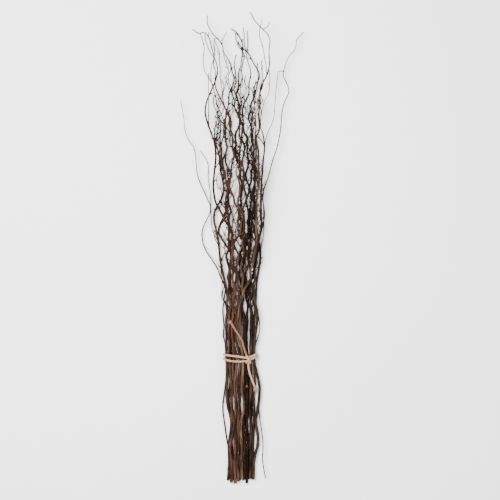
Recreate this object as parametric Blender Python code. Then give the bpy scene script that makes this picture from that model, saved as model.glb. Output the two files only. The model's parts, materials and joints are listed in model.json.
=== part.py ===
"""A bundle of curly willow stems held by a cord, lying on a surface.

The cut ends lie towards -Y and the tips towards +Y. The origin is the middle of the
bundle's box, on the surface that the bundle rests on. Each stem is one solid with its own
twigs, and the tie is one solid: two wraps, a knot and two tails.
"""

import math
from collections import namedtuple

import bpy
import numpy as np

# Driving dimensions, in metres
BUNDLE_LENGTH = 1.10
CORD_RADIUS = 0.0025
CORD_GAP = 0.0004
CORD_LIFT = 2 * CORD_RADIUS + CORD_GAP
KNOT_SPAN = 0.0075
KNOT_RISE = 0.0052
TAIL_GAP = 0.0005
STEM_GAP = 0.0003
FLOOR_GAP = 0.0001
CUT_END_GAP = 0.0004
THICKET_HEIGHT = 0.072
THICKET_WAVE = 0.004
ROW_HEIGHT = 0.0048
TWIG_TIP_RADIUS = 0.0005

# Spacing of the points along the stems and the cord, in metres
LOWER_STEP = 0.020
UPPER_STEP = 0.0165
TWIG_STEP = 0.0135
TAIL_STEP = 0.006
WRAP_STEP = 0.009
WRAP_CORNER = 0.0022

# Finishes, in linear colour
BARK = (0.050, 0.024, 0.015)
BARK_DARK = (0.030, 0.019, 0.014)
OTHER_BARKS = {
    "stem_04_reddish": (0.070, 0.028, 0.018),
    "stem_08_light_diagonal": (0.120, 0.070, 0.042),
    "stem_09_right_edge": BARK_DARK,
    "stem_13_right_back": BARK_DARK,
    "stem_14_right_inner": BARK_DARK,
}
BARK_ROUGHNESS = 0.7
CORD = (0.45, 0.27, 0.165)
CORD_ROUGHNESS = 0.9

# Routes are drawn on a grid: x across the bundle, y up from the lowest cut end
GRID_ROWS = 468
GRID = BUNDLE_LENGTH / GRID_ROWS
TIE_ROW = 125
SPREAD_ROWS = (140, 300)
FINE_ROW = 180
WAVE_ROWS = (38, 52)

# Bends added to the drawn routes below the tie and in the thicket, on the grid
LOWER_SWAY = 1.1
UPPER_SWAY = 0.9
SWAY_ROWS = ((34, 50), (17, 24))
SWAY_WIDTH = 15

# A stem's facets reach a little past its true radius, so that its section keeps its area
STEM_SIDES = 5
TWIG_SIDES = 3
STEM_REACH = 1.10
TWIG_REACH = 1.25
HEIGHT_LOSS = 0.62
TIP_SHARE = 0.4
TIP_ROWS = 80

# Small side twigs grown by rule
TWIG_ROWS = (158, 388)
TWIG_SPAN = (34, 66)
TWIG_RADII = (1.25, 1.75)
TWIG_LEAN = (5, 13)
CURL_ROWS = (20, 29)
CURL_SIZE = (1.5, 2.6)
EDGE_ROWS = (0, 200, 224, 254, 284, 314, 354, 394, GRID_ROWS)
LEFT_EDGE = (-17, -18, -20, -23, -25, -26, -28, -25, -22)
RIGHT_EDGE = (18, 18, 20, 24, 23, 26, 26, 23, 22)
SEED = 20

Stem = namedtuple("Stem", "name butt row depth twigs route branches")
Branch = namedtuple("Branch", "radius route")
Strand = namedtuple("Strand", "stem parent root points radii sides reach")

# butt: radius at the cut end in millimetres; row: 0 behind, 1 in front, at the tie;
# depth: 0 lies on the surface, 1 is uppermost, where the stems spread;
# twigs: how many side twigs grow by rule
STEMS = (
    Stem("stem_01_left_curve", 3.6, 1, 0.50, 3, (
        (-8.5, 1), (-9, 34), (-7, 64), (-8, 89), (-10, 109), (-10.5, 139), (-11, 164),
        (-10.5, 181), (-11.5, 197), (-11, 212), (-13, 227), (-10.7, 244), (-12, 257),
        (-16, 266), (-20, 274), (-24, 281), (-26.5, 296), (-25.5, 311), (-24, 326),
        (-25.5, 341), (-30, 354), (-33.5, 365), (-34.5, 374), (-32, 385), (-27.5, 395),
        (-23.5, 405), (-22, 414), (-25, 424), (-28, 435), (-30.5, 444.5), (-34, 449),
        (-38, 450.8), (-42.5, 449.3), (-47, 453),
    ), (
        Branch(0.9, ((-25, 424), (-29, 430), (-32, 436), (-34, 442), (-35, 449))),
        Branch(1.0, (
            (-27.5, 396), (-32, 407), (-35.5, 413), (-36.5, 425), (-35.5, 434),
            (-38, 445), (-40, 450),
        )),
        Branch(0.9, ((-27.5, 395), (-29, 404), (-28.5, 415), (-26, 424))),
    )),
    Stem("stem_02_far_left", 1.4, 0, 0.22, 0, (
        (-10, 6), (-11.5, 34), (-15.5, 59), (-17.5, 76), (-16, 90), (-14, 109),
        (-15, 139), (-17, 149), (-16, 160), (-17.5, 170), (-16, 184), (-15, 197),
        (-19, 205), (-22, 214), (-28.5, 225), (-35.5, 236), (-38.2, 248), (-36.5, 258),
        (-31, 269), (-29.5, 277), (-33.5, 287), (-39.5, 300), (-43, 311), (-44, 324),
        (-46, 336), (-51.5, 344), (-55.3, 354), (-56.2, 366), (-59.5, 384),
    ), ()),
    Stem("stem_03_left_edge", 3.3, 1, 0.14, 4, (
        (-12, 3), (-10, 34), (-10, 66), (-13, 89), (-13, 109), (-13, 139), (-13.5, 164),
        (-13, 184), (-15, 201), (-19.5, 222), (-22, 244), (-25.7, 262), (-26, 270),
        (-23, 278), (-17.5, 288), (-16.5, 298), (-19, 313), (-21, 329), (-25, 344),
        (-25, 357), (-22.7, 367), (-23.5, 381), (-25.5, 392),
    ), (
        Branch(0.8, (
            (-22, 244), (-27, 252), (-29, 264), (-29.7, 289), (-32, 306), (-32.5, 321),
            (-40, 334),
        )),
    )),
    Stem("stem_04_reddish", 3.5, 1, 0.92, 4, (
        (-4.5, 0), (-6, 32), (-4, 64), (-5, 89), (-4, 109), (-3.5, 124), (-4.5, 133),
        (-7.5, 144), (-8.5, 155), (-7, 168), (-7.5, 178), (-5.5, 190), (-7, 206),
        (-8, 222), (-7, 236), (-4, 244), (0, 253), (2.5, 264), (1, 274), (-4, 280),
        (-8.5, 291), (-10, 304), (-7.5, 317), (-6.5, 334), (-8, 348), (-10.5, 363),
        (-14.5, 374), (-20, 385), (-24, 395), (-24.3, 402), (-23.5, 407), (-26, 418),
        (-24.7, 430), (-25.5, 436), (-24.5, 443),
    ), (
        Branch(1.0, (
            (-14.5, 374), (-16.5, 382), (-18, 394), (-19.5, 404), (-18.5, 409),
            (-20.5, 420), (-19.5, 424), (-20, 428), (-24, 439),
        )),
    )),
    Stem("stem_05_left_middle", 3.3, 1, 0.62, 6, (
        (-1, 2), (-2, 34), (-1.8, 64), (-2, 89), (-1, 109), (0, 124), (-1, 133),
        (-3.5, 142), (-5, 151), (-4.5, 163), (-2.5, 177), (-1.5, 194), (-3.2, 214),
        (-1.5, 224), (-4.5, 236), (-8, 250), (-11, 265), (-14, 280), (-13, 294),
        (-15.5, 312), (-18.5, 328), (-18, 341), (-15, 353), (-17, 365), (-21.5, 375),
        (-24.5, 387), (-26.5, 396),
    ), ()),
    Stem("stem_06_tall_left", 3.2, 0, 0.34, 4, (
        (-3, 4), (-3.5, 34), (-3, 64), (-5.5, 89), (-7, 109), (-7, 124), (-6.5, 139),
        (-6, 164), (-7, 184), (-4.5, 204), (-6, 222), (-9.5, 234), (-8.5, 248),
        (-11, 262), (-10, 276), (-12, 290), (-11, 304), (-14.5, 324), (-13.5, 336),
        (-14.5, 352), (-14, 367), (-12, 380), (-10.5, 389), (-7.7, 398), (-6.5, 408),
        (-8.5, 417), (-14, 427), (-17.3, 434), (-18.5, 441), (-25, 447), (-30, 454),
        (-32.5, 460), (-32.5, 468),
    ), (
        Branch(0.7, ((-18, 439), (-17.7, 444), (-16, 447), (-13, 452))),
    )),
    Stem("stem_07_centre", 3.2, 0, 0.70, 7, (
        (0.5, 3), (1.5, 34), (0, 64), (0.5, 89), (-0.5, 109), (0, 124), (1.5, 139),
        (0.5, 164), (1.5, 186), (3, 199), (1.5, 216), (3.5, 232), (2.5, 247), (-0.5, 260),
        (-2, 274), (-0.5, 289), (-0.5, 302), (0, 311), (0.5, 322), (-0.5, 331),
        (0.5, 342), (0, 353), (-0.5, 364), (-3.5, 372), (-6, 380), (-4, 386), (-5.5, 396),
        (-4, 406), (-5.5, 418), (-3.5, 428),
    ), ()),
    Stem("stem_08_light_diagonal", 3.4, 1, 1.00, 3, (
        (1.5, 4), (0.5, 24), (0.5, 48), (1.5, 63), (4, 76), (3, 90), (3, 109), (3.2, 124),
        (2, 133), (0, 141), (-2.5, 151), (-3, 162), (-1.5, 173), (-0.5, 181), (4, 193),
        (9.5, 205), (12, 219), (14.5, 230), (16.5, 244), (16, 259), (16.5, 274),
        (17, 286), (19, 302), (18.5, 317), (18, 333), (16, 344), (19.5, 354), (18.5, 367),
        (20, 379), (19.8, 389), (23, 399), (27, 407), (29.3, 418), (28.5, 430),
        (29.7, 439), (27, 447), (21, 453), (14.5, 460), (10.5, 468),
    ), (
        Branch(1.0, (
            (26, 405), (26, 414), (25, 420), (24, 427), (21.5, 438), (19.5, 444),
            (19.5, 451), (20.5, 456), (22, 462),
        )),
        Branch(0.7, ((25, 449.5), (27, 454), (29, 458))),
    )),
    Stem("stem_09_right_edge", 3.5, 1, 0.42, 3, (
        (13, 4), (13.5, 23), (17, 35), (17.8, 48), (15.7, 62), (18, 76), (19.5, 96),
        (16.5, 112), (13.5, 124), (14, 139), (16, 154), (17.5, 169), (14.5, 185),
        (13, 194), (15, 209), (13.5, 218), (16, 232), (19, 246), (21.5, 256), (21, 271),
        (21, 285), (21.5, 304), (23, 322), (24.5, 337), (22.5, 351), (20, 358), (21, 367),
        (20.5, 377), (18, 385),
    ), (
        Branch(1.1, (
            (19, 82), (20, 64), (21.5, 54), (23, 40), (22.5, 26), (23.2, 18), (25.5, 6),
        )),
        Branch(1.2, (
            (21.5, 255), (24.5, 268), (22.7, 286), (24.5, 296), (28.5, 308), (32.5, 323),
            (37, 337), (40.5, 354), (41.7, 370), (44.5, 382), (48.8, 392), (46.5, 401),
            (43, 409), (45, 418), (49, 427.5), (55.5, 435), (56.5, 444), (64, 452),
        )),
        Branch(1.1, (
            (24.5, 339), (26.5, 348), (30, 356), (33.5, 365), (34.7, 378), (35.8, 392),
            (37.3, 406), (38.2, 411.5), (40.5, 413), (44.5, 412.5),
        )),
        Branch(1.0, ((21, 367), (23.5, 380), (28.5, 390), (29.7, 404), (29, 414))),
        Branch(0.9, ((14.2, 141), (18.3, 148), (20, 155), (19.3, 162), (17.5, 176))),
    )),
    Stem("stem_10_right_middle", 3.3, 1, 0.80, 6, (
        (10, 5), (10.5, 34), (9.5, 64), (11, 89), (10.7, 109), (11.6, 139), (12, 166),
        (10.7, 182), (12, 200), (9.5, 216), (8.3, 230), (7.5, 242), (4.5, 256),
        (3.5, 271), (5.5, 285), (4, 303), (2.5, 318), (3.7, 336), (2.5, 351), (0.3, 366),
        (1, 380), (-1.3, 392), (1.3, 401), (2, 413), (4.5, 426), (0, 434), (-3, 437.5),
    ), ()),
    Stem("stem_11_tall_centre", 3.3, 1, 0.08, 4, (
        (5, 6), (5.5, 29), (6, 59), (8, 79), (6.3, 99), (6, 124), (5.5, 139), (5, 154),
        (4, 166), (2, 182), (3, 196), (5.5, 210), (8.5, 224), (10.5, 238), (10.5, 253),
        (9.5, 268), (11.5, 284), (10, 299), (12, 314), (14, 331), (12.5, 344), (11, 356),
        (9, 367), (11.5, 380), (15, 391), (18, 404), (17.5, 414), (12.5, 423), (8, 431.5),
        (1, 438), (-4, 444), (-4.5, 450),
    ), (
        Branch(0.8, ((8, 431.5), (7.3, 437), (7.6, 445), (7.5, 454))),
    )),
    Stem("stem_12_centre_right", 3.3, 0, 0.46, 6, (
        (7.5, 0), (8.5, 34), (7, 59), (9.5, 84), (9, 109), (7, 124), (6, 139), (6.2, 152),
        (7.5, 166), (7, 184), (6.5, 200), (3.5, 216), (5, 232), (7.5, 246), (8.5, 262),
        (7, 278), (8.5, 294), (6.5, 310), (8, 326), (7, 340), (4.7, 354), (2, 368),
        (4.7, 379), (8, 390), (10.3, 404), (9.5, 415), (6.5, 428), (4.3, 439), (4.3, 448),
        (3.3, 455),
    ), ()),
    Stem("stem_13_right_back", 3.2, 0, 0.18, 5, (
        (11.5, 4), (12.5, 34), (13.5, 59), (13, 84), (14.5, 104), (12.5, 139), (14, 159),
        (15.5, 179), (16.5, 199), (18.5, 214), (20.3, 227), (19.3, 240), (17, 254),
        (15, 270), (13.5, 286), (15, 300), (14, 316), (16, 332), (15, 346), (16, 357),
        (15, 372), (14, 383), (12.5, 392),
    ), ()),
    Stem("stem_14_right_inner", 3.2, 0, 0.58, 5, (
        (9, 4), (9, 34), (12, 64), (11.5, 89), (11.5, 109), (10.8, 139), (11, 159),
        (10, 179), (9, 194), (12.5, 209), (16, 222), (17.5, 236), (15, 250), (12, 264),
        (14, 278), (12.5, 292), (15.5, 308), (13.5, 324), (11.5, 336), (13, 348),
        (11, 360), (13, 372), (15.5, 381), (14, 392), (16, 402),
    ), ()),
    Stem("stem_15_left_back", 3.2, 0, 0.00, 4, (
        (-6.5, 3), (-7.5, 34), (-9.5, 59), (-11, 84), (-9, 109), (-9.3, 139), (-9, 162),
        (-9.5, 179), (-9, 196), (-11, 210), (-9, 224), (-12, 235), (-17, 243),
        (-21.5, 252), (-19.5, 261), (-15, 271), (-11.5, 284), (-12.5, 297), (-15.5, 308),
        (-18.5, 322), (-19.5, 335), (-20.3, 350), (-19.5, 359), (-23, 370), (-26.5, 381),
        (-27, 388),
    ), ()),
    Stem("stem_16_centre_back", 3.3, 0, 0.02, 7, (
        (3.5, 3), (4, 34), (3, 59), (5, 84), (4, 109), (3.5, 139), (3, 164), (0, 184),
        (1, 200), (-0.5, 214), (0.5, 230), (3.5, 243), (1.5, 258), (0, 274), (1.5, 290),
        (1, 306), (-0.5, 319), (-4, 332), (-5, 344), (-3, 354), (-0.5, 367), (-2, 379),
        (-3, 390), (-2, 402), (-0.5, 414), (1.3, 425), (3, 436), (0.5, 446),
        (-4.5, 453.5), (-9, 456),
    ), ()),
)

# The tie, drawn on the same grid: the knot's place, then each tail from the knot outwards,
# then each wrap over the top of the stems, from left to right
KNOT = (8.5, 124.5)
UPPER_TAIL = (
    (7.5, 126.5), (5.2, 132.5), (3.5, 138), (2.4, 142.4), (0, 147.3), (-4, 153),
    (-7.8, 159.6), (-10.3, 162.3),
)
LOWER_TAIL = ((8.3, 122), (8.6, 116), (10, 110), (11.8, 105), (13.3, 101), (14.8, 97))
WRAPS = (
    ((-17, 129.2), (-8, 128.2), (0, 127.2), (8.5, 126), (16, 129.8)),
    ((-17, 125), (-9, 122.8), (0, 122.4), (8.5, 123.4), (16, 127.2)),
)


def clear_scene():
    for obj in list(bpy.data.objects):
        bpy.data.objects.remove(obj)


def material(name, colour, roughness):
    mat = bpy.data.materials.new(name)
    mat.use_nodes = True
    shader = mat.node_tree.nodes["Principled BSDF"]
    shader.inputs["Base Color"].default_value = (*colour, 1)
    shader.inputs["Roughness"].default_value = roughness
    shader.inputs["Metallic"].default_value = 0
    return mat


# Routes


def smooth_curve(points, per_span=8):
    """A Catmull-Rom curve through the points."""
    knots = np.asarray(points, float)
    ends = np.vstack([2 * knots[0] - knots[1], knots, 2 * knots[-1] - knots[-2]])
    t = (np.arange(per_span) / per_span)[:, None]
    spans = []
    for a, b, c, d in zip(ends, ends[1:], ends[2:], ends[3:]):
        bend = (2 * a - 5 * b + 4 * c - d) * t**2 + (3 * b - a - 3 * c + d) * t**3
        spans.append(0.5 * (2 * b + (c - a) * t + bend))
    return np.vstack([*spans, knots[-1:]])


def spaced(curve, step):
    """Points along the curve, about one step apart. The step may differ from place to place."""
    lengths = np.linalg.norm(np.diff(curve, axis=0), axis=1)
    steps = np.broadcast_to(step, len(curve))[1:]
    count = np.concatenate([[0], np.cumsum(lengths / steps)])
    stations = np.linspace(0, count[-1], max(2, round(count[-1])) + 1)
    return np.column_stack([np.interp(stations, count, axis) for axis in curve.T])


def ease(value):
    value = np.clip(value, 0, 1)
    return value * value * (3 - 2 * value)


def swaying(flat, rng):
    """The drawn route with slow bends below the tie and quicker ones in the thicket. The
    ends, the tie and the bundle's outer stems stay where they are drawn."""
    across, rows = flat.T
    inner = ease((SWAY_WIDTH - abs(across)) / 3)
    lower = LOWER_SWAY * np.sin(math.pi * np.clip(rows / (TIE_ROW - 8), 0, 1))
    upper = UPPER_SWAY * ease((rows - SPREAD_ROWS[0]) / 50) * ease((rows[-1] - rows) / 60)
    for strength, span in ((lower, SWAY_ROWS[0]), (upper, SWAY_ROWS[1])):
        turn = 2 * math.pi * (rows / rng.uniform(*span) + rng.uniform())
        across = across + strength * inner * np.sin(turn)
    return np.column_stack([across, rows])


def stem_height(stem, rows, rng):
    """How high the stem runs: in two rows at the tie, and spread apart above it."""
    radius = stem.butt / 1000
    cut_end = radius + CUT_END_GAP + stem.row * ROW_HEIGHT
    tied = CORD_LIFT + STEM_REACH * radius + stem.row * ROW_HEIGHT
    spread = radius + stem.depth * THICKET_HEIGHT
    low = cut_end + (tied - cut_end) * ease(rows / TIE_ROW)
    up = ease((rows - SPREAD_ROWS[0]) / (SPREAD_ROWS[1] - SPREAD_ROWS[0]))
    turn = 2 * math.pi * (rows / rng.uniform(*WAVE_ROWS) + rng.uniform())
    return low + (spread - low) * up + THICKET_WAVE * up * np.sin(turn)


def stem_radii(stem, flat):
    """A stem thins slowly with height, then faster over the last stretch to its tip."""
    lengths = np.linalg.norm(np.diff(flat, axis=0), axis=1)
    left = np.append(np.cumsum(lengths[::-1])[::-1], 0)
    share = 1 - HEIGHT_LOSS * (np.clip(flat[:, 1], 0, GRID_ROWS) / GRID_ROWS) ** 1.6
    tip = TIP_SHARE + (1 - TIP_SHARE) * ease(left / TIP_ROWS)
    return np.maximum(stem.butt / 1000 * share * tip, TWIG_TIP_RADIUS)


def grow_main(index, stem, rng):
    flat = smooth_curve(stem.route)
    step = np.where(flat[:, 1] < FINE_ROW, LOWER_STEP, UPPER_STEP) / GRID
    flat = spaced(flat, step)
    flat = swaying(flat, np.random.default_rng(SEED + 50 + index))
    rows = flat[:, 1]
    points = np.column_stack([flat * GRID, stem_height(stem, rows, rng)])
    return Strand(index, None, None, points, stem_radii(stem, flat), STEM_SIDES, STEM_REACH)


def grow_branch(main, radius, flat, rise):
    """A side twig on a route of its own, from the nearest point of its stem."""
    root = int(np.argmin(np.hypot(*(main.points[:, :2] - np.asarray(flat[0]) * GRID).T)))
    flat = spaced(smooth_curve([main.points[root, :2] / GRID, *flat[1:]]), TWIG_STEP / GRID)
    along = np.linspace(0, 1, len(flat))
    height = main.points[root, 2] + rise * np.sin(along * math.pi / 2)
    points = np.column_stack([flat * GRID, height])
    thick = min(radius / 1000, 0.8 * main.radii[root])
    radii = thick + (TWIG_TIP_RADIUS - thick) * along
    return Strand(main.stem, main, root, points, radii, TWIG_SIDES, TWIG_REACH)


def rule_route(main, row, side, rng):
    """A curly side twig's route, kept between the bundle's edges."""
    root = int(np.argmin(abs(main.points[:, 1] / GRID - row)))
    x, y = main.points[root, :2] / GRID
    t = np.linspace(0, 1, 9)
    rows = y + rng.uniform(*TWIG_SPAN) * t
    lean = side * rng.uniform(*TWIG_LEAN) * np.sin(t * math.pi / 2)
    turn = 2 * math.pi * (rows / rng.uniform(*CURL_ROWS) + rng.uniform())
    curl = rng.uniform(*CURL_SIZE) * (np.sin(turn) - math.sin(turn[0])) * ease(3 * t)
    left = np.interp(rows, EDGE_ROWS, LEFT_EDGE)
    right = np.interp(rows, EDGE_ROWS, RIGHT_EDGE)
    across = np.clip(x + lean + curl, np.minimum(left, x), np.maximum(right, x))
    return np.column_stack([across, rows])


def grow_stem(index, stem):
    rng = np.random.default_rng(SEED + index)
    main = grow_main(index, stem, rng)
    strands = [main]
    for branch in stem.branches:
        strands.append(grow_branch(main, branch.radius, branch.route, rng.uniform(-0.008, 0.012)))
    first, last = TWIG_ROWS
    last = min(last, stem.route[-1][1] - 20)
    for number in range(stem.twigs):
        row = first + (last - first) * (number + rng.uniform(0.1, 0.9)) / stem.twigs
        side = 1 if (number + index) % 2 else -1
        route = rule_route(main, row, side, rng)
        radius = rng.uniform(*TWIG_RADII)
        strands.append(grow_branch(main, radius, route, rng.uniform(-0.014, 0.018)))
    return strands


# Bending clear


def nearest(p, u, q, v):
    """Shares s and t at which the spans p + s u and q + t v come closest."""
    w = p - q
    uu, vv, uv = (u * u).sum(1), (v * v).sum(1), (u * v).sum(1)
    uw, vw = (u * w).sum(1), (v * w).sum(1)
    s = np.clip((uv * vw - uw * vv) / np.maximum(uu * vv - uv * uv, 1e-14), 0, 1)
    t = np.clip((uv * s + vw) / vv, 0, 1)
    return np.clip((uv * t - uw) / uu, 0, 1), t


def pairs_near(start, end, size, group, margin):
    """Spans of different stems whose boxes come within the margin of each other."""
    low = np.minimum(start, end) - size[:, None] - margin / 2
    high = np.maximum(start, end) + size[:, None] + margin / 2
    near = group[:, None] < group[None, :]
    for axis in range(3):
        near &= low[:, None, axis] < high[None, :, axis]
        near &= low[None, :, axis] < high[:, None, axis]
    return np.nonzero(near)


def over_cord(y, reach):
    """How far the cord under the bundle keeps the stems off the surface."""
    away = abs(y - TIE_ROW * GRID)
    return FLOOR_GAP + (CORD_LIFT + reach) * ease((0.11 - away) / 0.07)


def bend_clear(strands, turns=420):
    """Bends the stems past each other, mostly up and down, so that none crosses another."""
    firsts = np.cumsum([0] + [len(s.points) for s in strands])
    points = np.vstack([s.points for s in strands])
    drawn = points.copy()
    radii = np.concatenate([s.radii for s in strands])
    size = np.concatenate([s.radii * s.reach for s in strands])
    stem = np.concatenate([np.full(len(s.points), s.stem) for s in strands])
    place = {id(s): first for s, first in zip(strands, firsts)}
    spans = np.concatenate([np.arange(a, b - 1) for a, b in zip(firsts, firsts[1:])])
    before = np.maximum(np.arange(len(points)) - 1, np.repeat(firsts[:-1], np.diff(firsts)))
    after = np.minimum(np.arange(len(points)) + 1, np.repeat(firsts[1:] - 1, np.diff(firsts)))
    span_size = np.maximum(size[spans], size[spans + 1])
    for turn in range(turns):
        if turn % 12 == 0:
            i, j = pairs_near(points[spans], points[spans + 1], span_size, stem[spans], 0.008)
            i, j = spans[i], spans[j]
        u, v = points[i + 1] - points[i], points[j + 1] - points[j]
        s, t = nearest(points[i], u, points[j], v)
        apart = points[i] + s[:, None] * u - points[j] - t[:, None] * v
        distance = np.linalg.norm(apart, axis=1)
        wanted = size[i] * (1 - s) + size[i + 1] * s + size[j] * (1 - t) + size[j + 1] * t
        short = wanted + 1.3 * STEM_GAP - distance
        touching = short > 0
        if turn > turns // 2 and short.max() < 0.5 * STEM_GAP:
            break
        i, j, s, t = i[touching], j[touching], s[touching], t[touching]
        away = apart[touching] / np.maximum(distance[touching], 1e-6)[:, None]
        order = np.sign(drawn[i, 2] - drawn[j, 2] + 1e-9 * (i - j))
        away[:, 2] += 0.4 * np.where(abs(away[:, 2]) > 0.2, np.sign(away[:, 2]), order)
        push = 0.55 * short[touching, None] * away * (0.55, 0.15, 1.0)
        move = np.zeros_like(points)
        hits = np.full(len(points), 1e-9)
        for index, share, sign in ((i, 1 - s, 1), (i + 1, s, 1), (j, 1 - t, -1), (j + 1, t, -1)):
            np.add.at(move, index, sign * push * share[:, None])
            np.add.at(hits, index, share)
        move /= np.maximum(hits, 0.7)[:, None]
        for _ in range(2):
            move = 0.6 * move + 0.2 * (move[before] + move[after])
        hold = 0.02 * max(0, 1 - 1.6 * turn / turns)
        points += 1.5 * move + hold * (drawn - points)
        points[:, 2] = np.maximum(points[:, 2], radii + over_cord(points[:, 1], size - radii))
        for twig in strands:
            if twig.parent is None:
                continue
            first = place[id(twig)]
            shift = points[place[id(twig.parent)] + twig.root] - points[first]
            for step, share in enumerate((1, 0.6, 0.25)):
                points[first + step] += share * shift
    return [s._replace(points=points[a:b]) for s, a, b in zip(strands, firsts, firsts[1:])]


def centred(strands):
    """The strands with the middle of their outline, seen from above, at the origin."""
    low = np.min([(s.points[:, :2] - s.radii[:, None]).min(0) for s in strands], axis=0)
    high = np.max([(s.points[:, :2] + s.radii[:, None]).max(0) for s in strands], axis=0)
    shift = np.append((low + high) / 2, 0)
    return [s._replace(points=s.points - shift) for s in strands], shift


# Tubes


def tube_object(name, points, radii, sides, closed=False, spin=-math.pi / 2):
    """A tube with flat ends, or a closed ring, with one corner row or facet facing down."""
    points = np.asarray(points, float)
    count = len(points)
    if closed:
        along = np.roll(points, -1, 0) - np.roll(points, 1, 0)
    else:
        along = np.gradient(points, axis=0)
    along /= np.linalg.norm(along, axis=1)[:, None]
    across = np.cross(along, (0, 0, 1))
    if closed:
        across = np.cross((0, 1, 0), along)
    across /= np.linalg.norm(across, axis=1)[:, None]
    up = np.cross(across, along)
    angle = spin + math.pi / sides + 2 * math.pi * np.arange(sides) / sides
    ring = np.cos(angle)[None, :, None] * across[:, None] + np.sin(angle)[None, :, None] * up[:, None]
    verts = points[:, None] + np.broadcast_to(radii, count)[:, None, None] * ring
    faces = []
    for a in range(count if closed else count - 1):
        b = (a + 1) % count
        for k in range(sides):
            m = (k + 1) % sides
            faces.append((a * sides + k, b * sides + k, b * sides + m, a * sides + m))
    if not closed:
        faces.append(tuple(range(sides)))
        faces.append(tuple(reversed(range((count - 1) * sides, count * sides))))
    mesh = bpy.data.meshes.new(name)
    mesh.from_pydata(verts.reshape(-1, 3).tolist(), [], faces)
    obj = bpy.data.objects.new(name, mesh)
    bpy.context.scene.collection.objects.link(obj)
    return face_outwards(obj)


def face_outwards(obj):
    mesh = obj.data
    corners = np.array([v.co[:] for v in mesh.vertices])
    mesh.calc_loop_triangles()
    triangles = corners[np.array([t.vertices[:] for t in mesh.loop_triangles])]
    if np.linalg.det(triangles).sum() < 0:
        mesh.flip_normals()
    return obj


def fuse(name, pieces, mat):
    """Joins the pieces into the first by one Boolean union."""
    body = pieces[0]
    body.name = name
    if len(pieces) > 1:
        others = bpy.data.collections.new(name + "_pieces")
        for piece in pieces[1:]:
            others.objects.link(piece)
        union = body.modifiers.new("union", "BOOLEAN")
        union.operation = "UNION"
        union.operand_type = "COLLECTION"
        union.collection = others
        union.solver = "MANIFOLD"
        bpy.context.view_layer.update()
        graph = bpy.context.evaluated_depsgraph_get()
        fused = bpy.data.meshes.new_from_object(body.evaluated_get(graph))
        body.modifiers.clear()
        body.data = fused
        for piece in pieces[1:]:
            bpy.data.objects.remove(piece)
        bpy.data.collections.remove(others)
    body.data.name = name
    body.data.materials.clear()
    body.data.materials.append(mat)
    body.data.shade_smooth()
    body.data.set_sharp_from_angle(angle=math.radians(80))
    return body


def strand_tube(strand, name):
    return tube_object(name, strand.points, strand.radii * strand.reach, strand.sides)


# The tie


def section(strands, y):
    """Each stem's middle and radius where it passes under a wrap."""
    found = []
    for strand in strands:
        ys = strand.points[:, 1]
        if strand.parent is None and ys[0] < y < ys[-1]:
            at = [np.interp(y, ys, strand.points[:, axis]) for axis in (0, 2)]
            found.append((*at, np.interp(y, ys, strand.radii * strand.reach)))
    return np.array(found)


def outline_round(circles, offset, floor, directions=240):
    """The line that a tight cord takes round the circles, flat along the surface below."""
    outline = []
    for angle in np.arange(directions) * 2 * math.pi / directions:
        way = np.array([math.cos(angle), math.sin(angle)])
        x, z, r = circles[np.argmax(circles[:, :2] @ way + circles[:, 2])]
        x, z = np.array([x, z]) + (r + offset) * way
        corner = (x, floor if way[1] < -0.6 else max(z, floor))
        if not outline or math.dist(outline[-1], corner) > WRAP_CORNER:
            outline.append(corner)
    if math.dist(outline[0], outline[-1]) < WRAP_CORNER:
        outline.pop()
    return np.array(outline)


def wrap_path(strands, over, shift):
    """One turn of the cord, drawn tight round the stems: over them by the given points, and
    straight back beneath them."""
    across, rows = np.array(over).T * GRID - shift[:2, None]
    circles = np.vstack([section(strands, y) for y in rows])
    floor = CORD_RADIUS * math.cos(math.pi / 8)
    outline = outline_round(circles, CORD_RADIUS + CORD_GAP, floor)
    path = []
    for start, end in zip(outline, np.roll(outline, -1, 0)):
        on_top = min(start[1], end[1]) > outline[:, 1].mean()
        parts = math.ceil(math.dist(start, end) / WRAP_STEP) if on_top else 1
        for part in range(parts):
            x, z = start + (end - start) * part / parts
            if on_top:
                y = np.interp(x, across, rows)
            else:
                y = np.interp(x, across[[0, -1]], rows[[0, -1]])
            path.append((x, y, z))
    return np.array(path)


def top_at(path, x):
    """The height of a wrap's upper side at one place across the bundle."""
    upper = path[path[:, 2] > path[:, 2].mean()]
    upper = upper[np.argsort(upper[:, 0])]
    return np.interp(x, upper[:, 0], upper[:, 2])


def knot_turns(knot, top):
    """The knot: two turns of the cord that cross over both wraps."""
    turns = []
    for lean, higher in ((-0.6, 0), (0.6, 0.6 * CORD_RADIUS)):
        turn = []
        for angle in np.linspace(0, math.pi, 9):
            rise = top + KNOT_RISE * (0.1 + math.sin(angle)) + higher * math.sin(angle)
            reach = KNOT_SPAN * math.cos(angle)
            turn.append(knot + (lean * reach, reach, rise))
        turns.append(np.array(turn))
    return turns


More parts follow.
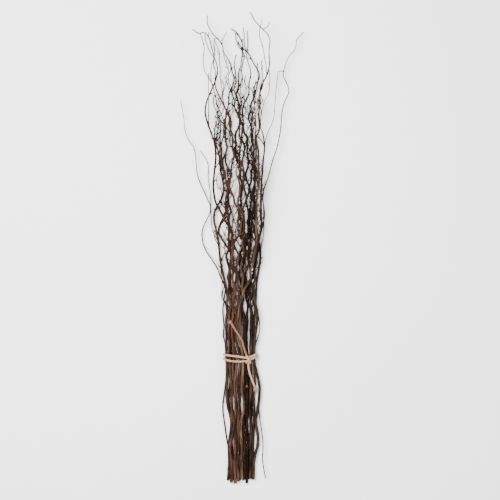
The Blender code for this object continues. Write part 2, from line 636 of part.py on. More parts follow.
def lifted(route, radius, strands, shift, start):
    """A tail laid over the stems: raised wherever it would touch one."""
    flat = spaced(smooth_curve(route), TAIL_STEP / GRID)
    path = np.column_stack([flat * GRID - shift[:2], np.full(len(flat), start)])
    ends = [(s.points[:-1], s.points[1:], s.radii * s.reach) for s in strands]
    p = np.vstack([a for a, _, _ in ends])
    v = np.vstack([b - a for a, b, _ in ends])
    size = np.concatenate([np.maximum(r[:-1], r[1:]) for _, _, r in ends])
    near = (abs(p[:, 1] - path[:, 1].mean()) < 0.14) & (abs(p[:, 0]) < 0.08)
    p, v, size = p[near], v[near], size[near]
    for _ in range(90):
        u = np.diff(path, axis=0)
        lift = np.zeros(len(path))
        for k in range(len(u)):
            s, t = nearest(path[k][None], u[k][None], p, v)
            gap = path[k] + s[:, None] * u[k] - p - t[:, None] * v
            short = size + radius + TAIL_GAP - np.linalg.norm(gap, axis=1)
            need = max(0, short.max())
            lift[k:k + 2] = np.maximum(lift[k:k + 2], need)
        if lift.max() == 0:
            break
        path[:, 2] += 0.6 * lift + FLOOR_GAP * (lift > 0)
    padded = np.pad(path[:, 2], 1, mode="edge")
    path[:, 2] = np.maximum(path[:, 2], (padded[:-2] + padded[2:]) / 2)
    return path


def make_tie(strands, shift, mat):
    wraps = [wrap_path(strands, over, shift) for over in WRAPS]
    pieces = []
    for number, path in enumerate(wraps):
        pieces.append(tube_object(f"wrap_{number}", path, CORD_RADIUS, 8, closed=True))
    knot = np.append(np.array(KNOT) * GRID, 0) - shift
    top = max(top_at(path, knot[0]) for path in wraps)
    for number, turn in enumerate(knot_turns(knot, top)):
        pieces.append(tube_object(f"knot_{number}", turn, 1.1 * CORD_RADIUS, 8))
    for number, route in enumerate((UPPER_TAIL, LOWER_TAIL)):
        path = lifted(route, 1.05 * CORD_RADIUS, strands, shift, top)
        thick = np.full(len(path), CORD_RADIUS)
        thick[-2:] *= (1.25, 1.1)
        pieces.append(tube_object(f"tail_{number}", path, thick, 8))
    return fuse("tie", pieces, mat)


def main():
    clear_scene()
    strands = [strand for index, stem in enumerate(STEMS) for strand in grow_stem(index, stem)]
    strands, shift = centred(bend_clear(strands))
    for index, stem in enumerate(STEMS):
        tubes = [s for s in strands if s.stem == index]
        pieces = [strand_tube(s, f"{stem.name}_{k}") for k, s in enumerate(tubes)]
        colour = OTHER_BARKS.get(stem.name, BARK)
        fuse(stem.name, pieces, material(stem.name + "_bark", colour, BARK_ROUGHNESS))
    make_tie(strands, shift, material("cord", CORD, CORD_ROUGHNESS))


main()
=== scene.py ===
"""The looks of a tied bundle of curly willow stems, over its plain solids."""

import json
import math
from collections import namedtuple

import bmesh
import bpy
import numpy as np
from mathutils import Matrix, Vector
from mathutils.kdtree import KDTree

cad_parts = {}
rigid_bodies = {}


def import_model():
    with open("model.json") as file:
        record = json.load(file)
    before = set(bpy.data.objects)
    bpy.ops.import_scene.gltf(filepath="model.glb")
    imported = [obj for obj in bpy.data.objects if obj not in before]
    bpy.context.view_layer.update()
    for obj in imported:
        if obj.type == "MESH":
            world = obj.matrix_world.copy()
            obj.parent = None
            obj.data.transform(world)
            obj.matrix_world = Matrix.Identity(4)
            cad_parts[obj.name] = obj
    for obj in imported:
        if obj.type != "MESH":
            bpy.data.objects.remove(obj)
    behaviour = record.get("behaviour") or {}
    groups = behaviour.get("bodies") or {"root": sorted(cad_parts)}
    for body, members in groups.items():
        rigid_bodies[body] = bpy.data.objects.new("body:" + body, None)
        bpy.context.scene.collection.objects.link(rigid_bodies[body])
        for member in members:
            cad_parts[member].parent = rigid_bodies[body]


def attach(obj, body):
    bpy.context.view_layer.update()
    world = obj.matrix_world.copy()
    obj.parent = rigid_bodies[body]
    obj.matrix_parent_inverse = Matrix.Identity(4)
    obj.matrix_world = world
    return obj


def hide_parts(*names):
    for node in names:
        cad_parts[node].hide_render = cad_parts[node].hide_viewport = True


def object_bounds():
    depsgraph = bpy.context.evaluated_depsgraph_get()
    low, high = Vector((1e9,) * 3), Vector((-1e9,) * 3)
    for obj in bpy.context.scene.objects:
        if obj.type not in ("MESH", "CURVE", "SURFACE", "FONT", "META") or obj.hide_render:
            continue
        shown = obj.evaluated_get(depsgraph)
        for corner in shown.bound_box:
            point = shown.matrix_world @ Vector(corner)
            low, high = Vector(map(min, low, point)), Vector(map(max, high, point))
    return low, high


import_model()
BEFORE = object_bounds()

# Rings along the stems and twigs: how far apart, how many corners, and how thin at the least
# at each of the places along the bundle. A thin stem or long twig stands alone and is drawn
# fuller. Bark is old where a line is as thick as OLD_RADIUS, and younger the thinner it gets
MAIN_RING = 0.0024
TWIG_RING = 0.0022
MAIN_CORNERS = 14
TWIG_CORNERS = 9
FINEST_PLACES = (-0.20, -0.05, 0.33, 0.43)
MAIN_FINEST = (0.00140, 0.00095, 0.00095, 0.00120)
TWIG_FINEST = (0.00140, 0.00080, 0.00080, 0.00095)
THIN_STEM = 0.002
LONG_TWIG = 0.22
LONE_SIZE = 1.25
OLD_RADIUS = 0.0034
SHARP_ANGLE = 70

# Bark relief: slow swellings, low ridges and leaf scars. A wave may start at any phase
PHASES = (0, 7)
SWELLING = 0.05
SWELLING_LENGTHS = (0.011, 0.019, 0.034)
RIDGES = 3
RIDGE_LENGTH = 0.02
MAIN_RIDGE = 0.035
TWIG_RIDGE = 0.02
SCAR_START = (0.008, 0.03)
SCAR_GAP = (0.018, 0.038)
SCAR_END = 0.006
SCAR_TURN = 2.4
SCAR_LENGTH = 0.0028
SCAR_RISE = 0.22

# Buds: each ring is a place along the bud and its width there, as shares
BUD_RADIUS = 0.0013
BUD_MISSING = 0.25
BUD_LENGTHS = (0.0032, 0.0048)
BUD_WIDTHS = (0.00065, 0.00095)
BUD_RINGS = ((-0.25, 0.25), (0.15, 0.95), (0.45, 1.0), (0.8, 0.55))
BUD_CORNERS = 6
TIP_BUD_LENGTH = 0.0036
TIP_BUD_SIZE = 1.35

# Side shoots: rows is where on the bundle, gap is along the stem, and near is how close to
# another stem the tip has to be
SHOOT_CLEAR = 0.0008
SHOOT_CORNERS = 7
SHOOT_END = 0.012
SHOOT_TURN = 0.7
SHOOT_SWEEP = 0.25
SHOOT_WAVES = (4, 8)
SHOOT_TAPER = (1.25, 0.8)
Shoots = namedtuple("Shoots", "rows gap near span radii lean sway rings tries")
SPURS = Shoots(
    rows=(-0.03, 0.60), gap=(0.012, 0.024), near=0.016, span=(0.0035, 0.0090),
    radii=(0.0008, 0.0012), lean=(0.4, 0.9), sway=0, rings=6, tries=1)
TWIGLETS = Shoots(
    rows=(-0.05, 0.22), gap=(0.050, 0.100), near=0.009, span=(0.018, 0.042),
    radii=(0.0007, 0.0010), lean=(0.25, 0.65), sway=0.12, rings=13, tries=6)

# Where a twig leaves its stem it widens by COLLAR, over about COLLAR_REACH stem radii
COLLAR = 0.55
COLLAR_REACH = 1.9

# Cut ends and stubs
CUT_SLANT = 0.35
STUBS = 2
STUB_PLACES = (0.03, 0.5)
STUB_TURNS = (0.15, 0.85)
STUB_LEAN = (0.75, 0.65)
STUB_TAPER = (0.62, 0.46)
STUB_LENGTHS = (0.0004, 0.0010)
STUB_RINGS = 6
STUB_CORNERS = 10

# The cord: three strands laid round each other, a loop at one end and loose fibres at both
CORD_RING = 0.0009
CORD_PITCH = 0.0105
STRANDS = 3
STRAND_OFFSET = 0.50
STRAND_RADIUS = 0.53
STRAND_CORNERS = 9
LOOP_RADIUS = 0.0026
LOOP_TURN = (-0.6, 2 * math.pi - 0.2)
LOOP_POINTS = 16
Fray = namedtuple("Fray", "count length spread thick")
UPPER_FRAY = (Fray(16, 0.006, 0.5, 0.00034),)
LOWER_FRAY = (Fray(9, 0.013, 0.34, 0.0009), Fray(70, 0.015, 0.5, 0.0004))
FIBRE_RINGS = 7
FIBRE_CORNERS = 5
FIBRE_PLACE = 0.0011
FIBRE_DROP = 0.002

# How fine each noise is across a line, in both directions, and along it, and how far and how
# strongly the bark and the cord stand out in bump
STREAKS = (2.6, 2.6, 46)
PATCHES = (0.8, 0.8, 26)
PORES = (3.2, 3.2, 620)
CORD_FIBRES = (4.5, 4.5, 90)
CORD_PATCHES = (1, 1, 60)
BARK_BUMP = (0.0005, 0.8)
CORD_BUMP = (0.0004, 0.9)
WOOD_RINGS = 22
PITH_REACH = 0.16

# Gloss, and linear colours. Each bark has a dark, a middle and a light colour, and how soon
# its thin twigs turn to young bark
SHEEN = 0.03
BARK_ROUGHNESS = 0.55
CORD_ROUGHNESS = 0.85
FLOOR_ROUGHNESS = 0.9
PORE = (0.105, 0.062, 0.040)
YOUNG_BARK = (0.016, 0.007, 0.0045)
CUT_WOOD = (0.120, 0.076, 0.044)
CUT_RING = (0.075, 0.045, 0.026)
PITH = (0.060, 0.034, 0.019)
BARKS = {
    "bark": ((0.0024, 0.0010, 0.0007), (0.0190, 0.0084, 0.0050), (0.066, 0.034, 0.0215), 0.8),
    "bark_red": ((0.0036, 0.0013, 0.0009), (0.0270, 0.0105, 0.0064), (0.076, 0.034, 0.0215), 0.8),
    "bark_light": ((0.0060, 0.0030, 0.0018), (0.0440, 0.0240, 0.0136), (0.125, 0.074, 0.045), 1.9),
    "bark_dark": ((0.0017, 0.0010, 0.0008), (0.0112, 0.0066, 0.0047), (0.039, 0.0238, 0.0165), 0.8),
}
CORD_DARK = (0.125, 0.066, 0.035)
CORD_MIDDLE = (0.320, 0.195, 0.117)
CORD_LIGHT = (0.520, 0.330, 0.205)
FLOOR_COLOURS = ((0.90, 0.90, 0.90), (0.93, 0.93, 0.93))

# How light each line is, from 0 to 1. In the stems that aren't named here, the main stem and
# each twig get a random tone
TONES = {
    "stem_01_left_curve": 0.50,
    "stem_04_reddish": 0.62,
    "stem_10_right_middle": 0.30,
    "stem_11_tall_centre": 0.05,
    "stem_12_centre_right": 0.00,
    "stem_15_left_back": 0.50,
    "stem_16_centre_back": 0.15,
}
WRAP_TONE = 0.70
TAIL_TONES = (0.15, 0.75)

# The record's slot of each stem that isn't in plain bark
SLOTS = {
    "stem_04_reddish": "bark_red",
    "stem_08_light_diagonal": "bark_light",
    "stem_09_right_edge": "bark_dark",
    "stem_13_right_back": "bark_dark",
    "stem_14_right_inner": "bark_dark",
}

# The picture's width in pixels, its middle on the routes' grid, and the room
PICTURE = 500
PICTURE_MIDDLE = (10, 234)
SENSOR = 36
CAMERA_HEIGHT = 3.4
CAMERA_LEVEL = 0.02
FLOOR_SIZE = 30
FLOOR_HEIGHT = -0.0003
WORLD_STRENGTH = 0.65
KEY_PLACE = (-0.8, 0.5, 2.4)
KEY_SIZE = (1.5, 1.5)
KEY_POWER = 240
FILL_PLACE = (1.2, -0.6, 2.4)
FILL_SIZE = (2.0, 2.0)
FILL_POWER = 45

# Driving dimensions, in metres
BUNDLE_LENGTH = 1.10
CORD_RADIUS = 0.0025
CORD_GAP = 0.0004
CORD_LIFT = 2 * CORD_RADIUS + CORD_GAP
KNOT_SPAN = 0.0075
KNOT_RISE = 0.0052
TAIL_GAP = 0.0005
STEM_GAP = 0.0003
FLOOR_GAP = 0.0001
CUT_END_GAP = 0.0004
LIFT_END = 0.11
LIFT_EASE = 0.07
THICKET_HEIGHT = 0.072
THICKET_WAVE = 0.004
ROW_HEIGHT = 0.0048
TWIG_TIP_RADIUS = 0.0005

# The knot's turns, and how a tail is laid over the stems: the room, across and along, in
# which stems are looked at, and how often it is raised
KNOT_LEAN = 0.6
KNOT_POINTS = 9
TAIL_ROOM = (0.08, 0.14)
LIFT_TURNS = 90

# How stems that touch are pushed apart: how much across, along and up, how far in one turn,
# how near others are looked at, and how they are held to their drawn routes at first
PUSHES = (0.55, 0.15, 1.0)
PUSH = 0.55
PUSH_STEP = 1.5
PUSH_NEAR = 0.008
PUSH_TURNS = 420
LOOK_TURNS = 12
HOLD = 0.02
TWIG_FOLLOWS = (1, 0.6, 0.25)

# Spacing of the points along the stems and the cord, in metres
LOWER_STEP = 0.020
UPPER_STEP = 0.0165
TWIG_STEP = 0.0135
TAIL_STEP = 0.006
WRAP_STEP = 0.009
WRAP_CORNER = 0.0022

# Routes are drawn on a grid: x across the bundle, y up from the lowest cut end
GRID_ROWS = 468
GRID = BUNDLE_LENGTH / GRID_ROWS
TIE_ROW = 125
SPREAD_ROWS = (140, 300)
FINE_ROW = 180
WAVE_ROWS = (38, 52)

# Bends added to the drawn routes below the tie and in the thicket, on the grid
LOWER_SWAY = 1.1
UPPER_SWAY = 0.9
SWAY_ROWS = ((34, 50), (17, 24))
SWAY_WIDTH = 15
SWAY_EDGE = 3
SWAY_EASE = (50, 60)
STILL_ROWS = 8

# How far the plain solids' facets reach, as a share of a stem's or twig's radius
STEM_REACH = 1.10
TWIG_REACH = 1.25

# How a stem thins towards its tip
HEIGHT_LOSS = 0.62
HEIGHT_POWER = 1.6
TIP_SHARE = 0.4
TIP_ROWS = 80

# Small side twigs grown by rule. Rises are in metres
BRANCH_RISES = (-0.008, 0.012)
TWIG_RISES = (-0.014, 0.018)
TWIG_ROWS = (158, 388)
TWIG_PLACES = (0.1, 0.9)
BARE_ROWS = 20
TWIG_SPAN = (34, 66)
TWIG_RADII = (1.25, 1.75)
TWIG_LEAN = (5, 13)
CURL_ROWS = (20, 29)
CURL_SIZE = (1.5, 2.6)
EDGE_ROWS = (0, 200, 224, 254, 284, 314, 354, 394, GRID_ROWS)
LEFT_EDGE = (-17, -18, -20, -23, -25, -26, -28, -25, -22)
RIGHT_EDGE = (18, 18, 20, 24, 23, 26, 26, 23, 22)
SEED = 20

Stem = namedtuple("Stem", "name butt row depth twigs route branches")
Branch = namedtuple("Branch", "radius route")
Strand = namedtuple("Strand", "stem parent root points radii reach")

# butt: radius at the cut end in millimetres; row: 0 behind, 1 in front, at the tie;
# depth: 0 lies on the surface, 1 is uppermost, where the stems spread;
# twigs: how many side twigs grow by rule
STEMS = (
    Stem("stem_01_left_curve", 3.6, 1, 0.50, 3, (
        (-8.5, 1), (-9, 34), (-7, 64), (-8, 89), (-10, 109), (-10.5, 139), (-11, 164),
        (-10.5, 181), (-11.5, 197), (-11, 212), (-13, 227), (-10.7, 244), (-12, 257),
        (-16, 266), (-20, 274), (-24, 281), (-26.5, 296), (-25.5, 311), (-24, 326),
        (-25.5, 341), (-30, 354), (-33.5, 365), (-34.5, 374), (-32, 385), (-27.5, 395),
        (-23.5, 405), (-22, 414), (-25, 424), (-28, 435), (-30.5, 444.5), (-34, 449),
        (-38, 450.8), (-42.5, 449.3), (-47, 453),
    ), (
        Branch(0.9, ((-25, 424), (-29, 430), (-32, 436), (-34, 442), (-35, 449))),
        Branch(1.0, (
            (-27.5, 396), (-32, 407), (-35.5, 413), (-36.5, 425), (-35.5, 434),
            (-38, 445), (-40, 450),
        )),
        Branch(0.9, ((-27.5, 395), (-29, 404), (-28.5, 415), (-26, 424))),
    )),
    Stem("stem_02_far_left", 1.4, 0, 0.22, 0, (
        (-10, 6), (-11.5, 34), (-15.5, 59), (-17.5, 76), (-16, 90), (-14, 109),
        (-15, 139), (-17, 149), (-16, 160), (-17.5, 170), (-16, 184), (-15, 197),
        (-19, 205), (-22, 214), (-28.5, 225), (-35.5, 236), (-38.2, 248), (-36.5, 258),
        (-31, 269), (-29.5, 277), (-33.5, 287), (-39.5, 300), (-43, 311), (-44, 324),
        (-46, 336), (-51.5, 344), (-55.3, 354), (-56.2, 366), (-59.5, 384),
    ), ()),
    Stem("stem_03_left_edge", 3.3, 1, 0.14, 4, (
        (-12, 3), (-10, 34), (-10, 66), (-13, 89), (-13, 109), (-13, 139), (-13.5, 164),
        (-13, 184), (-15, 201), (-19.5, 222), (-22, 244), (-25.7, 262), (-26, 270),
        (-23, 278), (-17.5, 288), (-16.5, 298), (-19, 313), (-21, 329), (-25, 344),
        (-25, 357), (-22.7, 367), (-23.5, 381), (-25.5, 392),
    ), (
        Branch(0.8, (
            (-22, 244), (-27, 252), (-29, 264), (-29.7, 289), (-32, 306), (-32.5, 321),
            (-40, 334),
        )),
    )),
    Stem("stem_04_reddish", 3.5, 1, 0.92, 4, (
        (-4.5, 0), (-6, 32), (-4, 64), (-5, 89), (-4, 109), (-3.5, 124), (-4.5, 133),
        (-7.5, 144), (-8.5, 155), (-7, 168), (-7.5, 178), (-5.5, 190), (-7, 206),
        (-8, 222), (-7, 236), (-4, 244), (0, 253), (2.5, 264), (1, 274), (-4, 280),
        (-8.5, 291), (-10, 304), (-7.5, 317), (-6.5, 334), (-8, 348), (-10.5, 363),
        (-14.5, 374), (-20, 385), (-24, 395), (-24.3, 402), (-23.5, 407), (-26, 418),
        (-24.7, 430), (-25.5, 436), (-24.5, 443),
    ), (
        Branch(1.0, (
            (-14.5, 374), (-16.5, 382), (-18, 394), (-19.5, 404), (-18.5, 409),
            (-20.5, 420), (-19.5, 424), (-20, 428), (-24, 439),
        )),
    )),
    Stem("stem_05_left_middle", 3.3, 1, 0.62, 6, (
        (-1, 2), (-2, 34), (-1.8, 64), (-2, 89), (-1, 109), (0, 124), (-1, 133),
        (-3.5, 142), (-5, 151), (-4.5, 163), (-2.5, 177), (-1.5, 194), (-3.2, 214),
        (-1.5, 224), (-4.5, 236), (-8, 250), (-11, 265), (-14, 280), (-13, 294),
        (-15.5, 312), (-18.5, 328), (-18, 341), (-15, 353), (-17, 365), (-21.5, 375),
        (-24.5, 387), (-26.5, 396),
    ), ()),
    Stem("stem_06_tall_left", 3.2, 0, 0.34, 4, (
        (-3, 4), (-3.5, 34), (-3, 64), (-5.5, 89), (-7, 109), (-7, 124), (-6.5, 139),
        (-6, 164), (-7, 184), (-4.5, 204), (-6, 222), (-9.5, 234), (-8.5, 248),
        (-11, 262), (-10, 276), (-12, 290), (-11, 304), (-14.5, 324), (-13.5, 336),
        (-14.5, 352), (-14, 367), (-12, 380), (-10.5, 389), (-7.7, 398), (-6.5, 408),
        (-8.5, 417), (-14, 427), (-17.3, 434), (-18.5, 441), (-25, 447), (-30, 454),
        (-32.5, 460), (-32.5, 468),
    ), (
        Branch(0.7, ((-18, 439), (-17.7, 444), (-16, 447), (-13, 452))),
    )),
    Stem("stem_07_centre", 3.2, 0, 0.70, 7, (
        (0.5, 3), (1.5, 34), (0, 64), (0.5, 89), (-0.5, 109), (0, 124), (1.5, 139),
        (0.5, 164), (1.5, 186), (3, 199), (1.5, 216), (3.5, 232), (2.5, 247), (-0.5, 260),
        (-2, 274), (-0.5, 289), (-0.5, 302), (0, 311), (0.5, 322), (-0.5, 331),
        (0.5, 342), (0, 353), (-0.5, 364), (-3.5, 372), (-6, 380), (-4, 386), (-5.5, 396),
        (-4, 406), (-5.5, 418), (-3.5, 428),
    ), ()),
    Stem("stem_08_light_diagonal", 3.4, 1, 1.00, 3, (
        (1.5, 4), (0.5, 24), (0.5, 48), (1.5, 63), (4, 76), (3, 90), (3, 109), (3.2, 124),
        (2, 133), (0, 141), (-2.5, 151), (-3, 162), (-1.5, 173), (-0.5, 181), (4, 193),
        (9.5, 205), (12, 219), (14.5, 230), (16.5, 244), (16, 259), (16.5, 274),
        (17, 286), (19, 302), (18.5, 317), (18, 333), (16, 344), (19.5, 354), (18.5, 367),
        (20, 379), (19.8, 389), (23, 399), (27, 407), (29.3, 418), (28.5, 430),
        (29.7, 439), (27, 447), (21, 453), (14.5, 460), (10.5, 468),
    ), (
        Branch(1.0, (
            (26, 405), (26, 414), (25, 420), (24, 427), (21.5, 438), (19.5, 444),
            (19.5, 451), (20.5, 456), (22, 462),
        )),
        Branch(0.7, ((25, 449.5), (27, 454), (29, 458))),
    )),
    Stem("stem_09_right_edge", 3.5, 1, 0.42, 3, (
        (13, 4), (13.5, 23), (17, 35), (17.8, 48), (15.7, 62), (18, 76), (19.5, 96),
        (16.5, 112), (13.5, 124), (14, 139), (16, 154), (17.5, 169), (14.5, 185),
        (13, 194), (15, 209), (13.5, 218), (16, 232), (19, 246), (21.5, 256), (21, 271),
        (21, 285), (21.5, 304), (23, 322), (24.5, 337), (22.5, 351), (20, 358), (21, 367),
        (20.5, 377), (18, 385),
    ), (
        Branch(1.1, (
            (19, 82), (20, 64), (21.5, 54), (23, 40), (22.5, 26), (23.2, 18), (25.5, 6),
        )),
        Branch(1.2, (
            (21.5, 255), (24.5, 268), (22.7, 286), (24.5, 296), (28.5, 308), (32.5, 323),
            (37, 337), (40.5, 354), (41.7, 370), (44.5, 382), (48.8, 392), (46.5, 401),
            (43, 409), (45, 418), (49, 427.5), (55.5, 435), (56.5, 444), (64, 452),
        )),
        Branch(1.1, (
            (24.5, 339), (26.5, 348), (30, 356), (33.5, 365), (34.7, 378), (35.8, 392),
            (37.3, 406), (38.2, 411.5), (40.5, 413), (44.5, 412.5),
        )),
        Branch(1.0, ((21, 367), (23.5, 380), (28.5, 390), (29.7, 404), (29, 414))),
        Branch(0.9, ((14.2, 141), (18.3, 148), (20, 155), (19.3, 162), (17.5, 176))),
    )),
    Stem("stem_10_right_middle", 3.3, 1, 0.80, 6, (
        (10, 5), (10.5, 34), (9.5, 64), (11, 89), (10.7, 109), (11.6, 139), (12, 166),
        (10.7, 182), (12, 200), (9.5, 216), (8.3, 230), (7.5, 242), (4.5, 256),
        (3.5, 271), (5.5, 285), (4, 303), (2.5, 318), (3.7, 336), (2.5, 351), (0.3, 366),
        (1, 380), (-1.3, 392), (1.3, 401), (2, 413), (4.5, 426), (0, 434), (-3, 437.5),
    ), ()),
    Stem("stem_11_tall_centre", 3.3, 1, 0.08, 4, (
        (5, 6), (5.5, 29), (6, 59), (8, 79), (6.3, 99), (6, 124), (5.5, 139), (5, 154),
        (4, 166), (2, 182), (3, 196), (5.5, 210), (8.5, 224), (10.5, 238), (10.5, 253),
        (9.5, 268), (11.5, 284), (10, 299), (12, 314), (14, 331), (12.5, 344), (11, 356),
        (9, 367), (11.5, 380), (15, 391), (18, 404), (17.5, 414), (12.5, 423), (8, 431.5),
        (1, 438), (-4, 444), (-4.5, 450),
    ), (
        Branch(0.8, ((8, 431.5), (7.3, 437), (7.6, 445), (7.5, 454))),
    )),
    Stem("stem_12_centre_right", 3.3, 0, 0.46, 6, (
        (7.5, 0), (8.5, 34), (7, 59), (9.5, 84), (9, 109), (7, 124), (6, 139), (6.2, 152),
        (7.5, 166), (7, 184), (6.5, 200), (3.5, 216), (5, 232), (7.5, 246), (8.5, 262),
        (7, 278), (8.5, 294), (6.5, 310), (8, 326), (7, 340), (4.7, 354), (2, 368),
        (4.7, 379), (8, 390), (10.3, 404), (9.5, 415), (6.5, 428), (4.3, 439), (4.3, 448),
        (3.3, 455),
    ), ()),
    Stem("stem_13_right_back", 3.2, 0, 0.18, 5, (
        (11.5, 4), (12.5, 34), (13.5, 59), (13, 84), (14.5, 104), (12.5, 139), (14, 159),
        (15.5, 179), (16.5, 199), (18.5, 214), (20.3, 227), (19.3, 240), (17, 254),
        (15, 270), (13.5, 286), (15, 300), (14, 316), (16, 332), (15, 346), (16, 357),
        (15, 372), (14, 383), (12.5, 392),
    ), ()),
    Stem("stem_14_right_inner", 3.2, 0, 0.58, 5, (
        (9, 4), (9, 34), (12, 64), (11.5, 89), (11.5, 109), (10.8, 139), (11, 159),
        (10, 179), (9, 194), (12.5, 209), (16, 222), (17.5, 236), (15, 250), (12, 264),
        (14, 278), (12.5, 292), (15.5, 308), (13.5, 324), (11.5, 336), (13, 348),
        (11, 360), (13, 372), (15.5, 381), (14, 392), (16, 402),
    ), ()),
    Stem("stem_15_left_back", 3.2, 0, 0.00, 4, (
        (-6.5, 3), (-7.5, 34), (-9.5, 59), (-11, 84), (-9, 109), (-9.3, 139), (-9, 162),
        (-9.5, 179), (-9, 196), (-11, 210), (-9, 224), (-12, 235), (-17, 243),
        (-21.5, 252), (-19.5, 261), (-15, 271), (-11.5, 284), (-12.5, 297), (-15.5, 308),
        (-18.5, 322), (-19.5, 335), (-20.3, 350), (-19.5, 359), (-23, 370), (-26.5, 381),
        (-27, 388),
    ), ()),
    Stem("stem_16_centre_back", 3.3, 0, 0.02, 7, (
        (3.5, 3), (4, 34), (3, 59), (5, 84), (4, 109), (3.5, 139), (3, 164), (0, 184),
        (1, 200), (-0.5, 214), (0.5, 230), (3.5, 243), (1.5, 258), (0, 274), (1.5, 290),
        (1, 306), (-0.5, 319), (-4, 332), (-5, 344), (-3, 354), (-0.5, 367), (-2, 379),
        (-3, 390), (-2, 402), (-0.5, 414), (1.3, 425), (3, 436), (0.5, 446),
        (-4.5, 453.5), (-9, 456),
    ), ()),
)

# The tie, drawn on the same grid: the knot's place, then each tail from the knot outwards,
# then each wrap over the top of the stems, from left to right
KNOT = (8.5, 124.5)
UPPER_TAIL = (
    (7.5, 126.5), (5.2, 132.5), (3.5, 138), (2.4, 142.4), (0, 147.3), (-4, 153),
    (-7.8, 159.6), (-10.3, 162.3),
)
LOWER_TAIL = ((8.3, 122), (8.6, 116), (10, 110), (11.8, 105), (13.3, 101), (14.8, 97))
WRAPS = (
    ((-17, 129.2), (-8, 128.2), (0, 127.2), (8.5, 126), (16, 129.8)),
    ((-17, 125), (-9, 122.8), (0, 122.4), (8.5, 123.4), (16, 127.2)),
)


# Routes


def smooth_curve(points, per_span=8):
    """A Catmull-Rom curve through the points."""
    knots = np.asarray(points, float)
    ends = np.vstack([2 * knots[0] - knots[1], knots, 2 * knots[-1] - knots[-2]])
    t = (np.arange(per_span) / per_span)[:, None]
    spans = []
    for a, b, c, d in zip(ends, ends[1:], ends[2:], ends[3:]):
        bend = (2 * a - 5 * b + 4 * c - d) * t**2 + (3 * b - a - 3 * c + d) * t**3
        spans.append(0.5 * (2 * b + (c - a) * t + bend))
    return np.vstack([*spans, knots[-1:]])


def spaced(curve, step):
    """Points along the curve, about one step apart. The step may differ from place to place."""
    lengths = np.linalg.norm(np.diff(curve, axis=0), axis=1)
    steps = np.broadcast_to(step, len(curve))[1:]
    count = np.concatenate([[0], np.cumsum(lengths / steps)])
    stations = np.linspace(0, count[-1], max(2, round(count[-1])) + 1)
    return np.column_stack([np.interp(stations, count, axis) for axis in curve.T])


def ease(value):
    """0 up to 0, 1 from 1 on, and eased in between."""
    value = np.clip(value, 0, 1)
    return value * value * (3 - 2 * value)


def swaying(flat, rng):
    """The drawn route with slow bends below the tie and quicker ones in the thicket. The
    ends, the tie and the bundle's outer stems stay where they are drawn."""
    across, rows = flat.T
    inner = ease((SWAY_WIDTH - abs(across)) / SWAY_EDGE)
    lower = LOWER_SWAY * np.sin(math.pi * np.clip(rows / (TIE_ROW - STILL_ROWS), 0, 1))
    starting = ease((rows - SPREAD_ROWS[0]) / SWAY_EASE[0])
    ending = ease((rows[-1] - rows) / SWAY_EASE[1])
    upper = UPPER_SWAY * starting * ending
    for strength, span in ((lower, SWAY_ROWS[0]), (upper, SWAY_ROWS[1])):
        turn = 2 * math.pi * (rows / rng.uniform(*span) + rng.uniform())
        across = across + strength * inner * np.sin(turn)
    return np.column_stack([across, rows])


def stem_height(stem, rows, rng):
    """How high the stem runs: in two rows at the tie, and spread apart above it."""
    radius = stem.butt / 1000
    cut_end = radius + CUT_END_GAP + stem.row * ROW_HEIGHT
    tied = CORD_LIFT + STEM_REACH * radius + stem.row * ROW_HEIGHT
    spread = radius + stem.depth * THICKET_HEIGHT
    low = cut_end + (tied - cut_end) * ease(rows / TIE_ROW)
    up = ease((rows - SPREAD_ROWS[0]) / (SPREAD_ROWS[1] - SPREAD_ROWS[0]))
    turn = 2 * math.pi * (rows / rng.uniform(*WAVE_ROWS) + rng.uniform())
    return low + (spread - low) * up + THICKET_WAVE * up * np.sin(turn)


def stem_radii(stem, flat):
    """A stem thins slowly with height, then faster over the last stretch to its tip."""
    lengths = np.linalg.norm(np.diff(flat, axis=0), axis=1)
    left = np.append(np.cumsum(lengths[::-1])[::-1], 0)
    share = 1 - HEIGHT_LOSS * (np.clip(flat[:, 1], 0, GRID_ROWS) / GRID_ROWS) ** HEIGHT_POWER
    tip = TIP_SHARE + (1 - TIP_SHARE) * ease(left / TIP_ROWS)
    return np.maximum(stem.butt / 1000 * share * tip, TWIG_TIP_RADIUS)


def grow_main(index, stem, rng):
    """The main stem, from its cut end to its tip."""
    flat = smooth_curve(stem.route)
    step = np.where(flat[:, 1] < FINE_ROW, LOWER_STEP, UPPER_STEP) / GRID
    flat = spaced(flat, step)
    flat = swaying(flat, np.random.default_rng(SEED + 50 + index))
    rows = flat[:, 1]
    points = np.column_stack([flat * GRID, stem_height(stem, rows, rng)])
    return Strand(index, None, None, points, stem_radii(stem, flat), STEM_REACH)


def grow_branch(main, radius, flat, rise):
    """A side twig on a route of its own, from the nearest point of its stem."""
    root = int(np.argmin(np.hypot(*(main.points[:, :2] - np.asarray(flat[0]) * GRID).T)))
    flat = spaced(smooth_curve([main.points[root, :2] / GRID, *flat[1:]]), TWIG_STEP / GRID)
    along = np.linspace(0, 1, len(flat))
    height = main.points[root, 2] + rise * np.sin(along * math.pi / 2)
    points = np.column_stack([flat * GRID, height])
    thick = min(radius / 1000, 0.8 * main.radii[root])
    radii = thick + (TWIG_TIP_RADIUS - thick) * along
    return Strand(main.stem, main, root, points, radii, TWIG_REACH)


